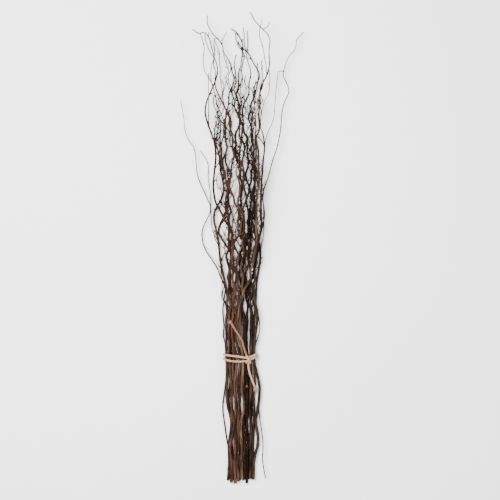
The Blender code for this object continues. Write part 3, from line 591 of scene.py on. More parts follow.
def rule_route(main, row, side, rng):
    """A curly side twig's route, kept between the bundle's edges."""
    root = int(np.argmin(abs(main.points[:, 1] / GRID - row)))
    x, y = main.points[root, :2] / GRID
    t = np.linspace(0, 1, 9)
    rows = y + rng.uniform(*TWIG_SPAN) * t
    lean = side * rng.uniform(*TWIG_LEAN) * np.sin(t * math.pi / 2)
    turn = 2 * math.pi * (rows / rng.uniform(*CURL_ROWS) + rng.uniform())
    curl = rng.uniform(*CURL_SIZE) * (np.sin(turn) - math.sin(turn[0])) * ease(3 * t)
    left = np.interp(rows, EDGE_ROWS, LEFT_EDGE)
    right = np.interp(rows, EDGE_ROWS, RIGHT_EDGE)
    across = np.clip(x + lean + curl, np.minimum(left, x), np.maximum(right, x))
    return np.column_stack([across, rows])


def grow_stem(index, stem):
    """The main stem, its drawn branches and its twigs grown by rule."""
    rng = np.random.default_rng(SEED + index)
    main = grow_main(index, stem, rng)
    strands = [main]
    for branch in stem.branches:
        strands.append(grow_branch(main, branch.radius, branch.route, rng.uniform(*BRANCH_RISES)))
    first, last = TWIG_ROWS
    last = min(last, stem.route[-1][1] - BARE_ROWS)
    for number in range(stem.twigs):
        row = first + (last - first) * (number + rng.uniform(*TWIG_PLACES)) / stem.twigs
        side = 1 if (number + index) % 2 else -1
        route = rule_route(main, row, side, rng)
        radius = rng.uniform(*TWIG_RADII)
        strands.append(grow_branch(main, radius, route, rng.uniform(*TWIG_RISES)))
    return strands


# Bending clear


def nearest(p, u, q, v):
    """Shares s and t at which the spans p + s u and q + t v come closest."""
    w = p - q
    uu, vv, uv = (u * u).sum(1), (v * v).sum(1), (u * v).sum(1)
    uw, vw = (u * w).sum(1), (v * w).sum(1)
    s = np.clip((uv * vw - uw * vv) / np.maximum(uu * vv - uv * uv, 1e-14), 0, 1)
    t = np.clip((uv * s + vw) / vv, 0, 1)
    return np.clip((uv * t - uw) / uu, 0, 1), t


def pairs_near(start, end, size, group, margin):
    """Spans of different stems whose boxes come within the margin of each other."""
    low = np.minimum(start, end) - size[:, None] - margin / 2
    high = np.maximum(start, end) + size[:, None] + margin / 2
    near = group[:, None] < group[None, :]
    for axis in range(3):
        near &= low[:, None, axis] < high[None, :, axis]
        near &= low[None, :, axis] < high[:, None, axis]
    return np.nonzero(near)


def over_cord(y, reach):
    """How far the cord under the bundle keeps the stems off the surface."""
    away = abs(y - TIE_ROW * GRID)
    return FLOOR_GAP + (CORD_LIFT + reach) * ease((LIFT_END - away) / LIFT_EASE)


def bend_clear(strands, turns=PUSH_TURNS):
    """Bends the stems past each other, mostly up and down, so that none crosses another."""
    firsts = np.cumsum([0] + [len(s.points) for s in strands])
    points = np.vstack([s.points for s in strands])
    drawn = points.copy()
    radii = np.concatenate([s.radii for s in strands])
    size = np.concatenate([s.radii * s.reach for s in strands])
    stem = np.concatenate([np.full(len(s.points), s.stem) for s in strands])
    place = {id(s): first for s, first in zip(strands, firsts)}
    spans = np.concatenate([np.arange(a, b - 1) for a, b in zip(firsts, firsts[1:])])
    before = np.maximum(np.arange(len(points)) - 1, np.repeat(firsts[:-1], np.diff(firsts)))
    after = np.minimum(np.arange(len(points)) + 1, np.repeat(firsts[1:] - 1, np.diff(firsts)))
    span_size = np.maximum(size[spans], size[spans + 1])
    for turn in range(turns):
        if turn % LOOK_TURNS == 0:
            starts, ends = points[spans], points[spans + 1]
            i, j = pairs_near(starts, ends, span_size, stem[spans], PUSH_NEAR)
            i, j = spans[i], spans[j]
        u, v = points[i + 1] - points[i], points[j + 1] - points[j]
        s, t = nearest(points[i], u, points[j], v)
        apart = points[i] + s[:, None] * u - points[j] - t[:, None] * v
        distance = np.linalg.norm(apart, axis=1)
        wanted = size[i] * (1 - s) + size[i + 1] * s + size[j] * (1 - t) + size[j + 1] * t
        short = wanted + 1.3 * STEM_GAP - distance
        touching = short > 0
        if turn > turns // 2 and short.max() < 0.5 * STEM_GAP:
            break
        i, j, s, t = i[touching], j[touching], s[touching], t[touching]
        away = apart[touching] / np.maximum(distance[touching], 1e-6)[:, None]
        order = np.sign(drawn[i, 2] - drawn[j, 2] + 1e-9 * (i - j))
        away[:, 2] += 0.4 * np.where(abs(away[:, 2]) > 0.2, np.sign(away[:, 2]), order)
        push = PUSH * short[touching, None] * away * PUSHES
        move = np.zeros_like(points)
        hits = np.full(len(points), 1e-9)
        for index, share, sign in ((i, 1 - s, 1), (i + 1, s, 1), (j, 1 - t, -1), (j + 1, t, -1)):
            np.add.at(move, index, sign * push * share[:, None])
            np.add.at(hits, index, share)
        move /= np.maximum(hits, 0.7)[:, None]
        for _ in range(2):
            move = 0.6 * move + 0.2 * (move[before] + move[after])
        hold = HOLD * max(0, 1 - 1.6 * turn / turns)
        points += PUSH_STEP * move + hold * (drawn - points)
        points[:, 2] = np.maximum(points[:, 2], radii + over_cord(points[:, 1], size - radii))
        for twig in strands:
            if twig.parent is None:
                continue
            first = place[id(twig)]
            shift = points[place[id(twig.parent)] + twig.root] - points[first]
            for step, share in enumerate(TWIG_FOLLOWS):
                points[first + step] += share * shift
    return [s._replace(points=points[a:b]) for s, a, b in zip(strands, firsts, firsts[1:])]


def centred(strands):
    """The strands with the middle of their outline, seen from above, at the origin."""
    low = np.min([(s.points[:, :2] - s.radii[:, None]).min(0) for s in strands], axis=0)
    high = np.max([(s.points[:, :2] + s.radii[:, None]).max(0) for s in strands], axis=0)
    shift = np.append((low + high) / 2, 0)
    return [s._replace(points=s.points - shift) for s in strands], shift


# The tie


def section(strands, y):
    """Each stem's middle and radius where it passes under a wrap."""
    found = []
    for strand in strands:
        ys = strand.points[:, 1]
        if strand.parent is None and ys[0] < y < ys[-1]:
            at = [np.interp(y, ys, strand.points[:, axis]) for axis in (0, 2)]
            found.append((*at, np.interp(y, ys, strand.radii * strand.reach)))
    return np.array(found)


def outline_round(circles, offset, floor, directions=240):
    """The line that a tight cord takes round the circles, flat along the surface below."""
    outline = []
    for angle in np.arange(directions) * 2 * math.pi / directions:
        way = np.array([math.cos(angle), math.sin(angle)])
        x, z, r = circles[np.argmax(circles[:, :2] @ way + circles[:, 2])]
        x, z = np.array([x, z]) + (r + offset) * way
        corner = (x, floor if way[1] < -0.6 else max(z, floor))
        if not outline or math.dist(outline[-1], corner) > WRAP_CORNER:
            outline.append(corner)
    if math.dist(outline[0], outline[-1]) < WRAP_CORNER:
        outline.pop()
    return np.array(outline)


def wrap_path(strands, over, shift):
    """One turn of the cord, drawn tight round the stems: over them by the given points, and
    straight back beneath them."""
    across, rows = np.array(over).T * GRID - shift[:2, None]
    circles = np.vstack([section(strands, y) for y in rows])
    floor = CORD_RADIUS * math.cos(math.pi / 8)
    outline = outline_round(circles, CORD_RADIUS + CORD_GAP, floor)
    path = []
    for start, end in zip(outline, np.roll(outline, -1, 0)):
        on_top = min(start[1], end[1]) > outline[:, 1].mean()
        parts = math.ceil(math.dist(start, end) / WRAP_STEP) if on_top else 1
        for part in range(parts):
            x, z = start + (end - start) * part / parts
            if on_top:
                y = np.interp(x, across, rows)
            else:
                y = np.interp(x, across[[0, -1]], rows[[0, -1]])
            path.append((x, y, z))
    return np.array(path)


def top_at(path, x):
    """The height of a wrap's upper side at one place across the bundle."""
    upper = path[path[:, 2] > path[:, 2].mean()]
    upper = upper[np.argsort(upper[:, 0])]
    return np.interp(x, upper[:, 0], upper[:, 2])


def knot_turns(knot, top):
    """The knot: two turns of the cord that cross over both wraps."""
    turns = []
    for lean, higher in ((-KNOT_LEAN, 0), (KNOT_LEAN, 0.6 * CORD_RADIUS)):
        turn = []
        for angle in np.linspace(0, math.pi, KNOT_POINTS):
            rise = top + KNOT_RISE * (0.1 + math.sin(angle)) + higher * math.sin(angle)
            reach = KNOT_SPAN * math.cos(angle)
            turn.append(knot + (lean * reach, reach, rise))
        turns.append(np.array(turn))
    return turns


def lifted(route, radius, strands, shift, start):
    """A tail laid over the stems: raised wherever it would touch one."""
    flat = spaced(smooth_curve(route), TAIL_STEP / GRID)
    path = np.column_stack([flat * GRID - shift[:2], np.full(len(flat), start)])
    ends = [(s.points[:-1], s.points[1:], s.radii * s.reach) for s in strands]
    p = np.vstack([a for a, _, _ in ends])
    v = np.vstack([b - a for a, b, _ in ends])
    size = np.concatenate([np.maximum(r[:-1], r[1:]) for _, _, r in ends])
    away = abs(p[:, 1] - path[:, 1].mean())
    near = (away < TAIL_ROOM[1]) & (abs(p[:, 0]) < TAIL_ROOM[0])
    p, v, size = p[near], v[near], size[near]
    for _ in range(LIFT_TURNS):
        u = np.diff(path, axis=0)
        lift = np.zeros(len(path))
        for k in range(len(u)):
            s, t = nearest(path[k][None], u[k][None], p, v)
            gap = path[k] + s[:, None] * u[k] - p - t[:, None] * v
            short = size + radius + TAIL_GAP - np.linalg.norm(gap, axis=1)
            need = max(0, short.max())
            lift[k:k + 2] = np.maximum(lift[k:k + 2], need)
        if lift.max() == 0:
            break
        path[:, 2] += 0.6 * lift + FLOOR_GAP * (lift > 0)
    padded = np.pad(path[:, 2], 1, mode="edge")
    path[:, 2] = np.maximum(path[:, 2], (padded[:-2] + padded[2:]) / 2)
    return path


# Meshes


def unit(vector):
    return vector / np.linalg.norm(vector)


def lengths_along(points):
    return np.concatenate([[0], np.cumsum(np.linalg.norm(np.diff(points, axis=0), axis=1))])


def outward_at(across, up, turn):
    return math.cos(turn) * across + math.sin(turn) * up


def frames_along(points, closed=False):
    """Tangent, across and up vectors that turn as little as they can along a line."""
    if closed:
        along = np.roll(points, -1, 0) - np.roll(points, 1, 0)
    else:
        along = np.gradient(points, axis=0)
    along /= np.linalg.norm(along, axis=1)[:, None]
    side = np.cross(along[0], (0, 0, 1))
    if np.linalg.norm(side) < 0.1:
        side = np.cross(along[0], (1, 0, 0))
    across = np.empty_like(points)
    for k, way in enumerate(along):
        side = unit(side - way * (side @ way))
        across[k] = side
    return along, across, np.cross(across, along)


class Shell:
    """Closed tubes and buds gathered as vertices and faces, ready to become one mesh."""

    def __init__(self):
        self.verts = []
        self.faces = []
        self.count = 0

    def add(self, verts, faces):
        self.verts.append(np.asarray(verts, float).reshape(-1, 3))
        self.faces += [tuple(i + self.count for i in face) for face in faces]
        self.count += len(self.verts[-1])

    def tube(self, points, radii, sides, relief=None, closed=False, cap=0.0, slant=0.0):
        """A round tube. The relief scales each corner's radius. The last end is domed by the
        cap, a share of the radius, and a slanted first end looks cut."""
        points = np.asarray(points, float)
        rings = len(points)
        radii = np.broadcast_to(radii, rings).astype(float)
        along, across, up = frames_along(points, closed)
        angle = 2 * math.pi * np.arange(sides) / sides
        ring = np.cos(angle)[None, :, None] * across[:, None]
        ring = ring + np.sin(angle)[None, :, None] * up[:, None]
        reach = radii[:, None] * (np.ones((rings, sides)) if relief is None else relief)
        verts = points[:, None] + reach[..., None] * ring
        if slant:
            verts[0] += along[0] * (np.cos(angle) * slant * radii[0])[:, None]
        faces = []
        for a in range(rings if closed else rings - 1):
            b = (a + 1) % rings
            for k in range(sides):
                m = (k + 1) % sides
                faces.append((a * sides + k, b * sides + k, b * sides + m, a * sides + m))
        verts = verts.reshape(-1, 3)
        if not closed:
            first, last = len(verts), len(verts) + 1
            tail = (rings - 1) * sides
            verts = np.vstack([
                verts,
                points[0] - along[0] * 0.02 * radii[0],
                points[-1] + along[-1] * cap * radii[-1],
            ])
            for k in range(sides):
                m = (k + 1) % sides
                faces.append((first, k, m))
                faces.append((last, tail + m, tail + k))
        self.add(verts, faces)
        return self

    def bud(self, base, along, outward, length, width):
        """A small pointed bud that hugs its twig."""
        side = np.cross(along, outward)
        verts = []
        for share, size in BUD_RINGS:
            middle = base + along * length * share + outward * width * (0.45 - 0.1 * share)
            for k in range(BUD_CORNERS):
                angle = 2 * math.pi * k / BUD_CORNERS
                reach = math.cos(angle) * side + math.sin(angle) * 0.8 * outward
                verts.append(middle + size * width * reach)
        verts.append(base - along * length * 0.35)
        verts.append(base + along * length + outward * width * 0.2)
        first, last = len(verts) - 2, len(verts) - 1
        tail = first - BUD_CORNERS
        faces = []
        for a in range(0, tail, BUD_CORNERS):
            b = a + BUD_CORNERS
            for k in range(BUD_CORNERS):
                m = (k + 1) % BUD_CORNERS
                faces.append((a + k, b + k, b + m, a + m))
        for k in range(BUD_CORNERS):
            m = (k + 1) % BUD_CORNERS
            faces.append((first, k, m))
            faces.append((last, tail + m, tail + k))
        self.add(verts, faces)
        return self

    def object(self, name):
        """The shell as a mesh object in the scene."""
        mesh = bpy.data.meshes.new(name)
        mesh.from_pydata(np.vstack(self.verts).tolist(), [], self.faces)
        work = bmesh.new()
        work.from_mesh(mesh)
        bmesh.ops.recalc_face_normals(work, faces=work.faces)
        work.to_mesh(mesh)
        work.free()
        obj = bpy.data.objects.new(name, mesh)
        bpy.context.scene.collection.objects.link(obj)
        return obj


def fused(name, shells):
    """One mesh from the shells, joined by a Boolean union."""
    pieces = [shell.object(f"{name}_{k}") for k, shell in enumerate(shells)]
    body = pieces[0]
    others = bpy.data.collections.new(name + "_pieces")
    for piece in pieces[1:]:
        others.objects.link(piece)
    union = body.modifiers.new("union", "BOOLEAN")
    union.operation = "UNION"
    union.operand_type = "COLLECTION"
    union.collection = others
    union.solver = "MANIFOLD"
    bpy.context.view_layer.update()
    graph = bpy.context.evaluated_depsgraph_get()
    mesh = bpy.data.meshes.new_from_object(body.evaluated_get(graph))
    body.modifiers.clear()
    body.data = mesh
    for piece in pieces[1:]:
        bpy.data.objects.remove(piece)
    bpy.data.collections.remove(others)
    body.name = name
    mesh.name = name
    mesh.shade_smooth()
    mesh.set_sharp_from_angle(angle=math.radians(SHARP_ANGLE))
    return body


def corners_of(mesh):
    corners = np.empty(len(mesh.vertices) * 3, np.float32)
    mesh.vertices.foreach_get("co", corners)
    return corners.reshape(-1, 3)


def mark(mesh, name, kind, domain, values):
    """Stores a number or vector for each vertex or face, which the finishes read."""
    field = "vector" if kind == "FLOAT_VECTOR" else "value"
    mesh.attributes.new(name, kind, domain).data.foreach_set(field, values.ravel())


def grain_of(obj, lines):
    """Tells each vertex where it lies on its own stem or strand: round it and along it.

    grain is (cosine, sine) of the place round the line times the distance from it as a
    share of the radius, and the distance along. tone is one number for each line, and age
    grows as the line thins."""
    tree = KDTree(sum(len(line.points) for line in lines))
    rows = []
    for line in lines:
        frames = frames_along(line.points)
        stations = line.starts + line.lengths
        for row in zip(line.points, *frames, line.radii, stations, line.age):
            tree.insert(row[0], len(rows))
            rows.append((*row, line.tone))
    tree.balance()
    corners = corners_of(obj.data)
    grain = np.empty((len(corners), 3), np.float32)
    tone = np.empty(len(corners), np.float32)
    age = np.empty(len(corners), np.float32)
    for number, corner in enumerate(corners):
        nearest_row = rows[tree.find(corner)[1]]
        point, along, across, up, radius, station, age[number], tone[number] = nearest_row
        off = corner - point
        grain[number] = (off @ across / radius, off @ up / radius, station + off @ along)
    mark(obj.data, "grain", "FLOAT_VECTOR", "POINT", grain)
    mark(obj.data, "tone", "FLOAT", "POINT", tone)
    mark(obj.data, "age", "FLOAT", "POINT", age)


def rest_on_surface(obj):
    """Presses flat what would reach below the surface that the bundle lies on."""
    corners = corners_of(obj.data)
    corners[:, 2] = np.maximum(corners[:, 2], 0)
    obj.data.vertices.foreach_set("co", corners.ravel())
    obj.data.update()


def mark_cuts(obj, cuts):
    """Tells each face whether it is bare wood: on a cut end, and facing out of it."""
    faces = obj.data.polygons
    centres = np.array([face.center[:] for face in faces])
    normals = np.array([face.normal[:] for face in faces])
    bare = np.zeros(len(faces), np.float32)
    for place, way, radius in cuts:
        off = centres - place
        near = np.linalg.norm(off, axis=1) < 1.2 * radius
        bare[near & (normals @ way > 0.7) & (off @ way > -0.6 * radius)] = 1
    mark(obj.data, "bare", "FLOAT", "FACE", bare)


# Stems


Line = namedtuple("Line", "points radii lengths starts tone age lone", defaults=[False])


def fine_line(strand, tone, rng):
    """The strand's own route, as a smooth curve with close points."""
    thin = strand.parent is None and strand.radii[0] < THIN_STEM
    step, finest = (TWIG_RING, TWIG_FINEST) if strand.parent or thin else (MAIN_RING, MAIN_FINEST)
    curve = spaced(smooth_curve(np.column_stack([strand.points, strand.radii]), 10), step)
    points, radii = curve[:, :3], curve[:, 3]
    lengths = lengths_along(points)
    lone = thin or strand.parent is not None and lengths[-1] > LONG_TWIG
    if lone:
        # A long thin twig keeps its thickness for longer than its plain solid does
        fuller = radii[-1] + (radii[0] - radii[-1]) * (1 - (lengths / lengths[-1]) ** 3)
        radii = LONE_SIZE * np.maximum(radii, fuller)
    radii = np.maximum(radii, np.interp(points[:, 1], FINEST_PLACES, finest))
    points[:, 2] = np.maximum(points[:, 2], radii + FLOOR_GAP)
    age = np.clip(1 - radii / OLD_RADIUS, 0, 1)
    own = rng.uniform(0, 1)
    tone = own if tone is None else tone
    return Line(points, radii, lengths, rng.uniform(0, 40), tone, age, lone)


def bark_relief(line, sides, rng, main):
    """Swellings at the leaf scars, slow changes of thickness and low ridges along the bark."""
    angle = 2 * math.pi * np.arange(sides) / sides
    s = line.lengths
    slow = sum(np.sin(s / length + rng.uniform(*PHASES)) for length in SWELLING_LENGTHS) / 3
    relief = np.ones((len(s), sides)) + (SWELLING * slow)[:, None]
    ridge = np.sin(RIDGES * angle[None, :] + s[:, None] / RIDGE_LENGTH + rng.uniform(*PHASES))
    relief += (MAIN_RIDGE if main else TWIG_RIDGE) * ridge
    scars = []
    at = rng.uniform(*SCAR_START)
    turn = rng.uniform(0, 2 * math.pi)
    while at < s[-1] - SCAR_END:
        scars.append((at, turn))
        at += rng.uniform(*SCAR_GAP)
        turn += SCAR_TURN
    for place, turn in scars:
        near = np.exp(-((s - place) / SCAR_LENGTH) ** 2)
        facing = np.exp(-(1 - np.cos(angle - turn)) / 0.35)
        relief += SCAR_RISE * near[:, None] * (0.35 + 0.65 * facing[None, :])
    return relief, scars


def collar(line, parent_radius):
    """A twig widens where it leaves its stem."""
    past = line.lengths / max(parent_radius, 0.001)
    return 1 + COLLAR * np.exp(-((past / COLLAR_REACH) ** 2))


def add_buds(shell, line, scars, rng):
    """A bud at most of the leaf scars of a thin twig."""
    along, across, up = frames_along(line.points)
    for place, turn in scars:
        k = int(np.searchsorted(line.lengths, place))
        if line.radii[k] > BUD_RADIUS or rng.uniform() < BUD_MISSING:
            continue
        outward = outward_at(across[k], up[k], turn)
        base = line.points[k] + outward * line.radii[k] * 0.75
        shell.bud(base, along[k], outward, rng.uniform(*BUD_LENGTHS), rng.uniform(*BUD_WIDTHS))


def add_shoots(shells, line, kind, clear, rng):
    """Side shoots of one kind, each with a bud at the tip, wherever one finds room."""
    along, across, up = frames_along(line.points)
    at = rng.uniform(*kind.gap)
    side = rng.choice((-1, 1))
    t = np.linspace(0, 1, kind.rings)[:, None]
    while at < line.lengths[-1] - SHOOT_END:
        k = int(np.searchsorted(line.lengths, at))
        at += rng.uniform(*kind.gap)
        if not kind.rows[0] < line.points[k][1] < kind.rows[1]:
            continue
        for _ in range(kind.tries):
            side = -side
            turn = rng.uniform(-SHOOT_TURN, SHOOT_TURN)
            outward = side * math.cos(turn) * across[k] + math.sin(turn) * up[k]
            sideways = np.cross(along[k], outward)
            length = rng.uniform(*kind.span)
            points = line.points[k] + outward * rng.uniform(*kind.lean) * length * t ** 0.8
            points = points + along[k] * length * t
            sweep = rng.uniform(-SHOOT_SWEEP, SHOOT_SWEEP)
            points = points + sideways * sweep * length * t ** 2
            wave = np.sin(rng.uniform(*SHOOT_WAVES) * t)
            points = points + outward * kind.sway * length * t * wave
            radius = min(rng.uniform(*kind.radii), 0.85 * line.radii[k])
            if clear(points[1:], radius, kind.near):
                break
        else:
            continue
        radii = radius * np.linspace(*SHOOT_TAPER, kind.rings)
        shells.append(Shell().tube(points, radii, SHOOT_CORNERS, cap=0.6))
        way = unit(points[-1] - points[-2])
        base = points[-1] - 0.001 * way
        outward = outward - way * (outward @ way)
        shells.append(Shell().bud(base, way, outward, TIP_BUD_LENGTH, TIP_BUD_SIZE * radius))


def add_stubs(shells, cuts, line, rng):
    """Short stubs where side shoots were cut off, on the lower half of the stem."""
    along, across, up = frames_along(line.points)
    for _ in range(STUBS):
        k = int(rng.uniform(*STUB_PLACES) * len(line.points))
        turn = rng.uniform(*STUB_TURNS) * math.pi * (1 if up[k][2] > 0 else -1)
        out, on = STUB_LEAN
        way = unit(out * outward_at(across[k], up[k], turn) + on * along[k])
        length = line.radii[k] + rng.uniform(*STUB_LENGTHS)
        points = line.points[k] + way * np.linspace(0, length, STUB_RINGS)[:, None]
        radii = line.radii[k] * np.linspace(*STUB_TAPER, STUB_RINGS)
        shells.append(Shell().tube(points, radii, STUB_CORNERS, cap=-0.15))
        cuts.append((points[-1], way, radii[-1]))


def stem_lines(index, strands):
    """The fine lines of one stem and its twigs."""
    rng = np.random.default_rng(SEED + 200 + index)
    tone = TONES.get(STEMS[index].name)
    return [fine_line(strand, tone, rng) for strand in strands]


def clear_test(index, all_lines, low, high):
    """A test of whether a shoot passes clear of the other stems, of the surface below and of
    the bundle's box, with its tip still near another stem."""
    points, radii = [], []
    for other, lines in enumerate(all_lines):
        if other != index:
            points += [line.points for line in lines]
            radii += [line.radii for line in lines]
    points, radii = np.vstack(points), np.concatenate(radii)
    order = np.argsort(points[:, 1])
    points, radii = points[order], radii[order]

    def clear(shoot, radius, near):
        if (shoot.min(0) < low + radius).any() or (shoot.max(0) > high - radius).any():
            return False
        reach = near + radii.max()
        first = np.searchsorted(points[:, 1], shoot[:, 1].min() - reach)
        last = np.searchsorted(points[:, 1], shoot[:, 1].max() + reach)
        if first == last:
            return False
        away = np.linalg.norm(points[first:last, None] - shoot, axis=2)
        gaps = (away - radii[first:last, None]).min(0)
        return gaps.min() > radius + SHOOT_CLEAR and gaps[-1] < near

    return clear


def make_stem(index, stem, strands, lines, clear):
    """One stem with its twigs, spurs, buds and stubs, in place of its plain solid."""
    rng = np.random.default_rng(SEED + 100 + index)
    shells, cuts = [], []
    for strand, line in zip(strands, lines):
        main = strand.parent is None
        sides = MAIN_CORNERS if main else TWIG_CORNERS
        relief, scars = bark_relief(line, sides, rng, main)
        radii = line.radii * (1.0 if main else collar(line, strand.parent.radii[strand.root]))
        slant = CUT_SLANT if main else 0.0
        shells.append(Shell().tube(line.points, radii, sides, relief, cap=0.8, slant=slant))
        buds = Shell()
        add_buds(buds, line, scars, rng)
        if buds.count:
            shells.append(buds)
        if not line.lone:
            add_shoots(shells, line, SPURS, clear, rng)
            add_shoots(shells, line, TWIGLETS, clear, rng)
        if main:
            add_stubs(shells, cuts, line, rng)
            cuts.append((line.points[0], unit(line.points[0] - line.points[1]), line.radii[0]))
    obj = fused(stem.name + "_fine", shells)
    rest_on_surface(obj)
    grain_of(obj, lines)
    mark_cuts(obj, cuts)
    return obj


# The tie


def twisted(shells, lines, points, closed, tone, rng):
    """Three strands laid round each other along a line."""
    turn = rng.uniform(0, 6)
    points = np.asarray(points, float)
    if closed:
        points = np.vstack([points, points[:1]])
    points = spaced(smooth_curve(points, 6), CORD_RING)
    _, across, up = frames_along(points)
    s = lengths_along(points)
    twists = max(1, round(s[-1] / CORD_PITCH)) / s[-1]
    slip = 0.0
    kept = slice(None)
    if closed:
        # The frame's own turn over the loop is spread along it, so that the ends meet
        slip = math.atan2(across[-1] @ up[0], across[-1] @ across[0])
        across[-1], up[-1] = across[0], up[0]
        kept = slice(-1)
    for k in range(STRANDS):
        angle = 2 * math.pi * (s * twists + k / STRANDS) + turn - slip * s / s[-1]
        wobble = 1 + 0.06 * np.sin(s / 0.006 + rng.uniform(*PHASES))
        off = np.cos(angle)[:, None] * across + np.sin(angle)[:, None] * up
        centre = points + off * (STRAND_OFFSET * CORD_RADIUS * wobble)[:, None]
        centre[:, 2] = np.maximum(centre[:, 2], 0.55 * CORD_RADIUS)
        radii = np.full(len(s), STRAND_RADIUS * CORD_RADIUS)
        radii *= 1 + 0.05 * np.sin(s / 0.004 + rng.uniform(*PHASES))
        centre, radii, marks = centre[kept], radii[kept], s[kept]
        shells.append(Shell().tube(centre, radii, STRAND_CORNERS, closed=closed, cap=0.4))
        own = tone + rng.uniform(-0.15, 0.15)
        lines.append(Line(centre, radii, marks, rng.uniform(0, 10), own, np.zeros(len(marks))))


def fibres(shells, lines, root, way, fray, rng):
    """Loose fibres that stand out of a cord's end, none of them far below it."""
    way = unit(way)
    side = unit(np.cross(way, (0, 0, 1)))
    up = np.array((0, 0, 1))
    t = np.linspace(0, 1, FIBRE_RINGS)[:, None]
    for _ in range(fray.count):
        lean = rng.uniform(-fray.spread, fray.spread)
        lift = rng.uniform(-0.25, 0.5) * fray.spread
        reach = fray.length * rng.uniform(0.45, 1.0)
        start = root - way * rng.uniform(0.002, 0.005)
        start = start + rng.uniform(-1, 1) * FIBRE_PLACE * side
        start = start + rng.uniform(-1, 1) * FIBRE_PLACE * up
        curl = rng.uniform(-0.2, 0.2)
        points = start + way * reach * t + side * (lean * reach * t**1.5 + curl * reach * t**2)
        points = points + up * lift * reach * t**1.4
        points[:, 2] = np.maximum(points[:, 2], root[2] - FIBRE_DROP)
        radii = np.linspace(fray.thick, 0.4 * fray.thick, FIBRE_RINGS)
        shells.append(Shell().tube(points, radii, FIBRE_CORNERS, cap=0.5))
        marks = (t * reach).ravel()
        start, tone = rng.uniform(0, 10), rng.uniform()
        lines.append(Line(points, radii, marks, start, tone, np.zeros(FIBRE_RINGS)))


def loop_path(end, way):
    """The small loop at the upper tail's end."""
    across = np.cross(unit(way), (0, 0, 1))
    loop = []
    for angle in np.linspace(*LOOP_TURN, LOOP_POINTS):
        place = end - way * 0.35 + across * LOOP_RADIUS * math.cos(angle)
        loop.append(place + np.array((0, 0, LOOP_RADIUS * math.sin(angle))) + way * 0.05 * angle)
    return loop


def make_tie_fine(strands, shift):
    """The cord's two wraps, its knot and its two tails, in place of the plain solid."""
    rng = np.random.default_rng(SEED + 300)
    shells, lines = [], []
    wraps = [wrap_path(strands, over, shift) for over in WRAPS]
    for path in wraps:
        twisted(shells, lines, path, True, WRAP_TONE, rng)
    knot = np.append(np.array(KNOT) * GRID, 0) - shift
    top = max(top_at(path, knot[0]) for path in wraps)
    for turn in knot_turns(knot, top):
        twisted(shells, lines, turn, False, WRAP_TONE, rng)
    tails = ((UPPER_TAIL, TAIL_TONES[0], UPPER_FRAY), (LOWER_TAIL, TAIL_TONES[1], LOWER_FRAY))
    for route, tone, frays in tails:
        path = lifted(route, 1.05 * CORD_RADIUS, strands, shift, top)
        twisted(shells, lines, path, False, tone, rng)
        end, way = path[-1], path[-1] - path[-2]
        if route is UPPER_TAIL:
            twisted(shells, lines, loop_path(end, way), False, tone, rng)
        for fray in frays:
            fibres(shells, lines, end, way, fray, rng)
    obj = fused("tie_cord", shells)
    grain_of(obj, lines)
    return obj


# Materials


class Value:
    """A shader socket that takes part in plain Python sums."""

    def __init__(self, finish, socket):
        self.finish = finish
        self.socket = socket

    def math(self, operation, *values):
        inputs = dict(enumerate((self, *values)))
        return self.finish.node("ShaderNodeMath", {"operation": operation}, inputs)

    def __add__(self, other):
        return self.math("ADD", other)

    def __mul__(self, other):
        return self.math("MULTIPLY", other)

    def __lt__(self, other):
        return self.math("LESS_THAN", other)

    __radd__ = __add__
    __rmul__ = __mul__

    def clip(self, low, high):
        """0 below low, 1 above high, and eased in between."""
        inputs = {"Value": self, "From Min": low, "From Max": high}
        return self.finish.node("ShaderNodeMapRange", {"interpolation_type": "SMOOTHSTEP"}, inputs)


class Finish:
    """A Principled material and the few nodes that every finish here needs."""

    def __init__(self, name, roughness):
        self.material = bpy.data.materials.new(name)
        self.material.use_nodes = True
        self.tree = self.material.node_tree
        self.shader = self.tree.nodes["Principled BSDF"]
        self.shader.inputs["Roughness"].default_value = roughness
        self.shader.inputs["Specular IOR Level"].default_value = SHEEN

    def node(self, kind, settings=None, inputs=None, output=0):
        """A node of one type with its settings, and a number, colour or link in each socket
        that inputs names. It gives back one of the node's outputs."""
        node = self.tree.nodes.new(kind)
        for name, value in (settings or {}).items():
            setattr(node, name, value)
        for name, value in (inputs or {}).items():
            socket = node.inputs[name]
            if isinstance(value, Value):
                self.tree.links.new(value.socket, socket)
            elif socket.type == "RGBA":
                socket.default_value = (*value, 1)
            else:
                socket.default_value = value
        return Value(self, node.outputs[output])

    def attribute(self, name, output):
        return self.node("ShaderNodeAttribute", {"attribute_name": name}, None, output)

    def stretched(self, grain, sizes):
        return self.node("ShaderNodeVectorMath", {"operation": "MULTIPLY"}, {0: grain, 1: sizes})

    def noise(self, place, scale, detail):
        inputs = {"Vector": place, "Scale": scale, "Detail": detail, "Roughness": 0.55}
        return self.node("ShaderNodeTexNoise", None, inputs)

    def mix(self, share, first, second):
        """The first colour where the share is 0, the second where it is 1."""
        return self.node("ShaderNodeMix", {"data_type": "RGBA"}, {0: share, 6: first, 7: second}, 2)

    def feed(self, name, value):
        self.tree.links.new(value.socket, self.shader.inputs[name])

    def bump(self, height, distance, strength):
        inputs = {"Height": height, "Distance": distance, "Strength": strength}
        self.feed("Normal", self.node("ShaderNodeBump", None, inputs))


